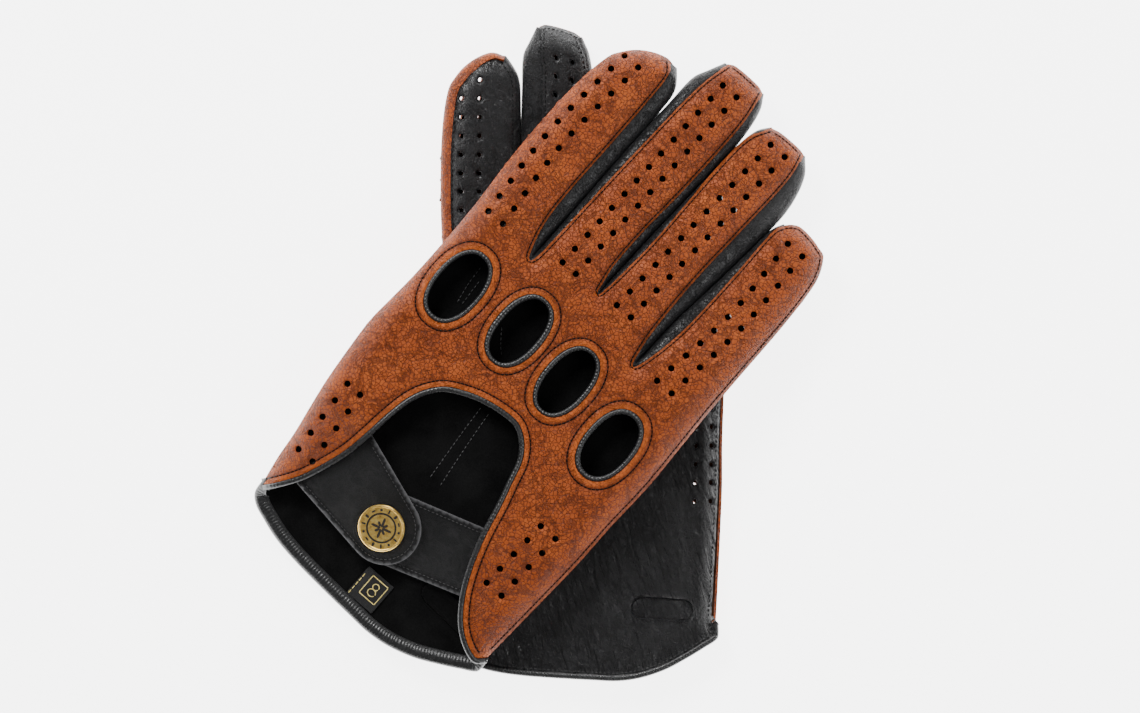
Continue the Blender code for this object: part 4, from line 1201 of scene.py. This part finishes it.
def cap_marks(name, at):
    """Plain marks pressed into the cap: bars and dots round its ring and a star in its middle."""
    centre = at(*SNAP, 0)
    across, along = [(at(SNAP[0] + du, SNAP[1] + dv, 0) - centre) / MM for du, dv in ((1, 0), (0, 1))]
    up = (at(*SNAP, 1) - centre) / MM
    marks = []
    for k in range(14):
        angle = 2 * math.pi * k / 14
        size = ((0.72, 0.27), (0.40, 0.40), (0.27, 0.66), (0.68, 0.42))[k % 4]
        marks.append((angle, 6.08, size, 9.33))
    for k in range(8):
        radius, half_long = ((1.95, 1.6), (1.5, 0.9))[k % 2]
        marks.append((math.pi * k / 4 + 0.3, radius, (half_long, 0.42), 9.21))
    frames = []
    for angle, radius, (half_long, half_wide), level in marks:
        out = across * math.cos(angle) + along * math.sin(angle)
        turn = Matrix((out, up.cross(out), up)).transposed()
        spot = centre + (out * radius + up * level) * MM
        frames.append((turn @ Matrix.Diagonal((half_long * MM, half_wide * MM, 0.06 * MM)), spot))
    return stamped(name, lozenge(), frames)


for side in SIDES:
    piece = turned(side + "_cap", CAP, frames[side], SNAP)
    dress(piece, brass_finish, side + "_strap", side + "_snap_cap", slot="brass", lining=patina_finish)
    piece = cap_marks(side + "_cap_marks", frames[side])
    dress(piece, patina_finish, side + "_strap", slot="brass")
    for part in ("_snap_socket", "_snap_stud", "_snap_post"):
        metal = frame["nodes"][side + part]
        metal.data.materials.clear()
        metal.data.materials.append(brass_finish)

# ---- Size labels ----
# Woven black satin tag inside the cuff, its size worked in gold thread inside a square.
satin_finish, satin_tree, satin_shader = new_finish("label_satin")
rib_links = {"Vector": spot_in(satin_tree), "Scale": 700.0, "Distortion": 0.6}
ribs = node(satin_tree, "ShaderNodeTexWave", rib_links, bands_direction="DIAGONAL").outputs["Fac"]
satin_colours = ramp_of(satin_tree, ribs, [(0.0, (0.003, 0.003, 0.0033)), (1.0, (0.010, 0.010, 0.0105))])
satin_tree.links.new(satin_colours, satin_shader.inputs["Base Color"])
satin_shader.inputs["Roughness"].default_value = 0.5
relief(satin_tree, satin_shader, ribs, 0.08 * MM)
gold_finish = speckled_finish("gold_thread", 2500.0, [(0.3, (0.72, 0.52, 0.12)),
                                                      (0.7, (1.0, 0.85, 0.32))], 0.45)

LABEL = np.array([(0.0, 6.4), (10.8, 6.4), (10.8, 17.9), (0.0, 17.9)])
label_outline = evenly(LABEL, 0.9)
SQUARE = np.array([(3.1, 9.2), (9.6, 9.2), (9.6, 16.5), (3.1, 16.5)])
EIGHT = [((6.35, 11.75), (1.45, 1.25)), ((6.35, 14.05), (1.15, 1.1))]


def label_skin(u, v):
    return palm_height(u, v) + 1.72 + 0.25 * math.sin(u * 0.45) * min(1.0, max(0.0, (v - 6.4) / 8))


for side in SIDES:
    piece = leather_sheet(side + "_label", label_outline, [], [], [], label_skin, PLACE[side],
                          facing[side], 0.35, 0.9)
    dress(piece, satin_finish, side + "_glove", side + "_size_label", slot="label_fabric", lining=satin_finish)
    rows = [np.vstack([a, b]) for a, b in zip(SQUARE, np.roll(SQUARE, -1, axis=0))]
    rows += [np.vstack([loop, loop[:1]]) for loop in (ring_of(c, r, 40) for c, r in EIGHT)]
    piece = stitch_row(side + "_label_gold", rows, label_skin, PLACE[side], 1, 0.42, 0.62, 0.20, 0.05)
    dress(piece, gold_finish, side + "_glove", slot="label_fabric")
    piece = stitch_row(side + "_label_tacks", [np.array([(0.6, 6.6), (0.6, 16.6)])], label_skin, PLACE[side], 1,
                       1.75, 1.45, 0.20, 0.06)
    dress(piece, gold_finish, side + "_glove", slot="label_fabric")

# ---- Thumbs ----
# Each thumb is a black front and a tan back sewn edge to edge and folded flat across the palm;
# the front turns on a round collar that passes through the palm panel.
THUMB_LENGTH, THUMB_HALF, THUMB_DEPTH = 61.0, 14.0, 7.0
COLLAR_OUT, COLLAR_IN = 10.7, 9.75
tip_centre = THUMB_LENGTH - THUMB_HALF * 0.95
root_turns = np.linspace(math.pi / 2, 1.5 * math.pi, 40)
tip_turns = np.linspace(-math.pi / 2, math.pi / 2, 40)
thumb_loop = evenly(np.array(
    [(THUMB_HALF * math.cos(a), THUMB_HALF * math.sin(a)) for a in root_turns]
    + [(tip_centre + 13.3 * math.cos(a), 13.02 * math.sin(a)) for a in tip_turns]), 1.0)
thumb_edge = tree_of(thumb_loop)
thumb_seam = aside(thumb_loop, -1.25, closed=True)
thumb_seam_tree = tree_of(thumb_seam)
THUMB_WAY = {"left": math.radians(12), "right": math.radians(49)}


def thumb_frame(side):
    """Along the thumb from its pivot, across it, and away from the palm."""
    spot = thumb_spot[side]
    ca, sa = math.cos(THUMB_WAY[side]), math.sin(THUMB_WAY[side])
    away = 1 if side == "left" else -1
    return lambda a, b, s: spot + Vector((ca * a - sa * b, sa * a + ca * b, away * s)) * MM


def thumb_swell(a, b):
    edge = 2.35 * (1 - min(reach(thumb_edge, a, b), 7.0) / 7.0) ** 2
    return edge + 0.18 * math.exp(-(reach(thumb_seam_tree, a, b) / 0.36) ** 2)


def thumb_crease(a, b):
    crease = 0.18 * noise.fractal(Vector((a * 0.06, b * 0.09, 6.0)), 0.9, 2.1, 3)
    return crease * min(1.0, reach(thumb_edge, a, b) / 5)


def thumb_front(a, b):
    return 0.42 + thumb_swell(a, b) + max(0.0, thumb_crease(a, b))


def thumb_back(a, b):
    return THUMB_DEPTH + 0.2 - thumb_swell(a, b) - max(0.0, thumb_crease(a, b))


COLLAR = [(COLLAR_OUT, 0.75), (COLLAR_OUT, -0.85), (COLLAR_OUT - 0.2, -1.0), (COLLAR_IN + 0.2, -1.0),
          (COLLAR_IN, -0.85), (COLLAR_IN, 1.1), (COLLAR_OUT - 0.2, 1.3)]
collar_hole = ring_of((0, 0), (COLLAR_OUT - 0.15, COLLAR_OUT - 0.15), 72)
for side in SIDES:
    at = thumb_frame(side)
    shell = leather_sheet(side + "_thumb_shell", thumb_loop, [collar_hole], [], [thumb_seam], thumb_front, at,
                          -1 if side == "left" else 1)
    section = [(ring_of((0, 0), (r, r), 72), np.full(72, s)) for r, s in COLLAR]
    collar = rolled(side + "_thumb_collar", section, np.zeros(72), at)
    piece = joined(side + "_thumb_palm", [shell, collar])
    dress(piece, black_finish, side + "_thumb", side + "_thumb_front", lining=black_suede_in_shade)
    piece = leather_sheet(side + "_thumb_shell_back", thumb_loop, [], [], [thumb_seam], thumb_back, at,
                          1 if side == "left" else -1)
    dress(piece, tan_finish, side + "_thumb", side + "_thumb_back", slot="tan_leather", lining=brown_suede_in_shade)
    ring = np.vstack([thumb_seam, thumb_seam[:1]])
    piece = stitch_row(side + "_thumb_stitches", [ring], thumb_back, at, 1)
    dress(piece, thread_finish, side + "_thumb", slot="black_leather")
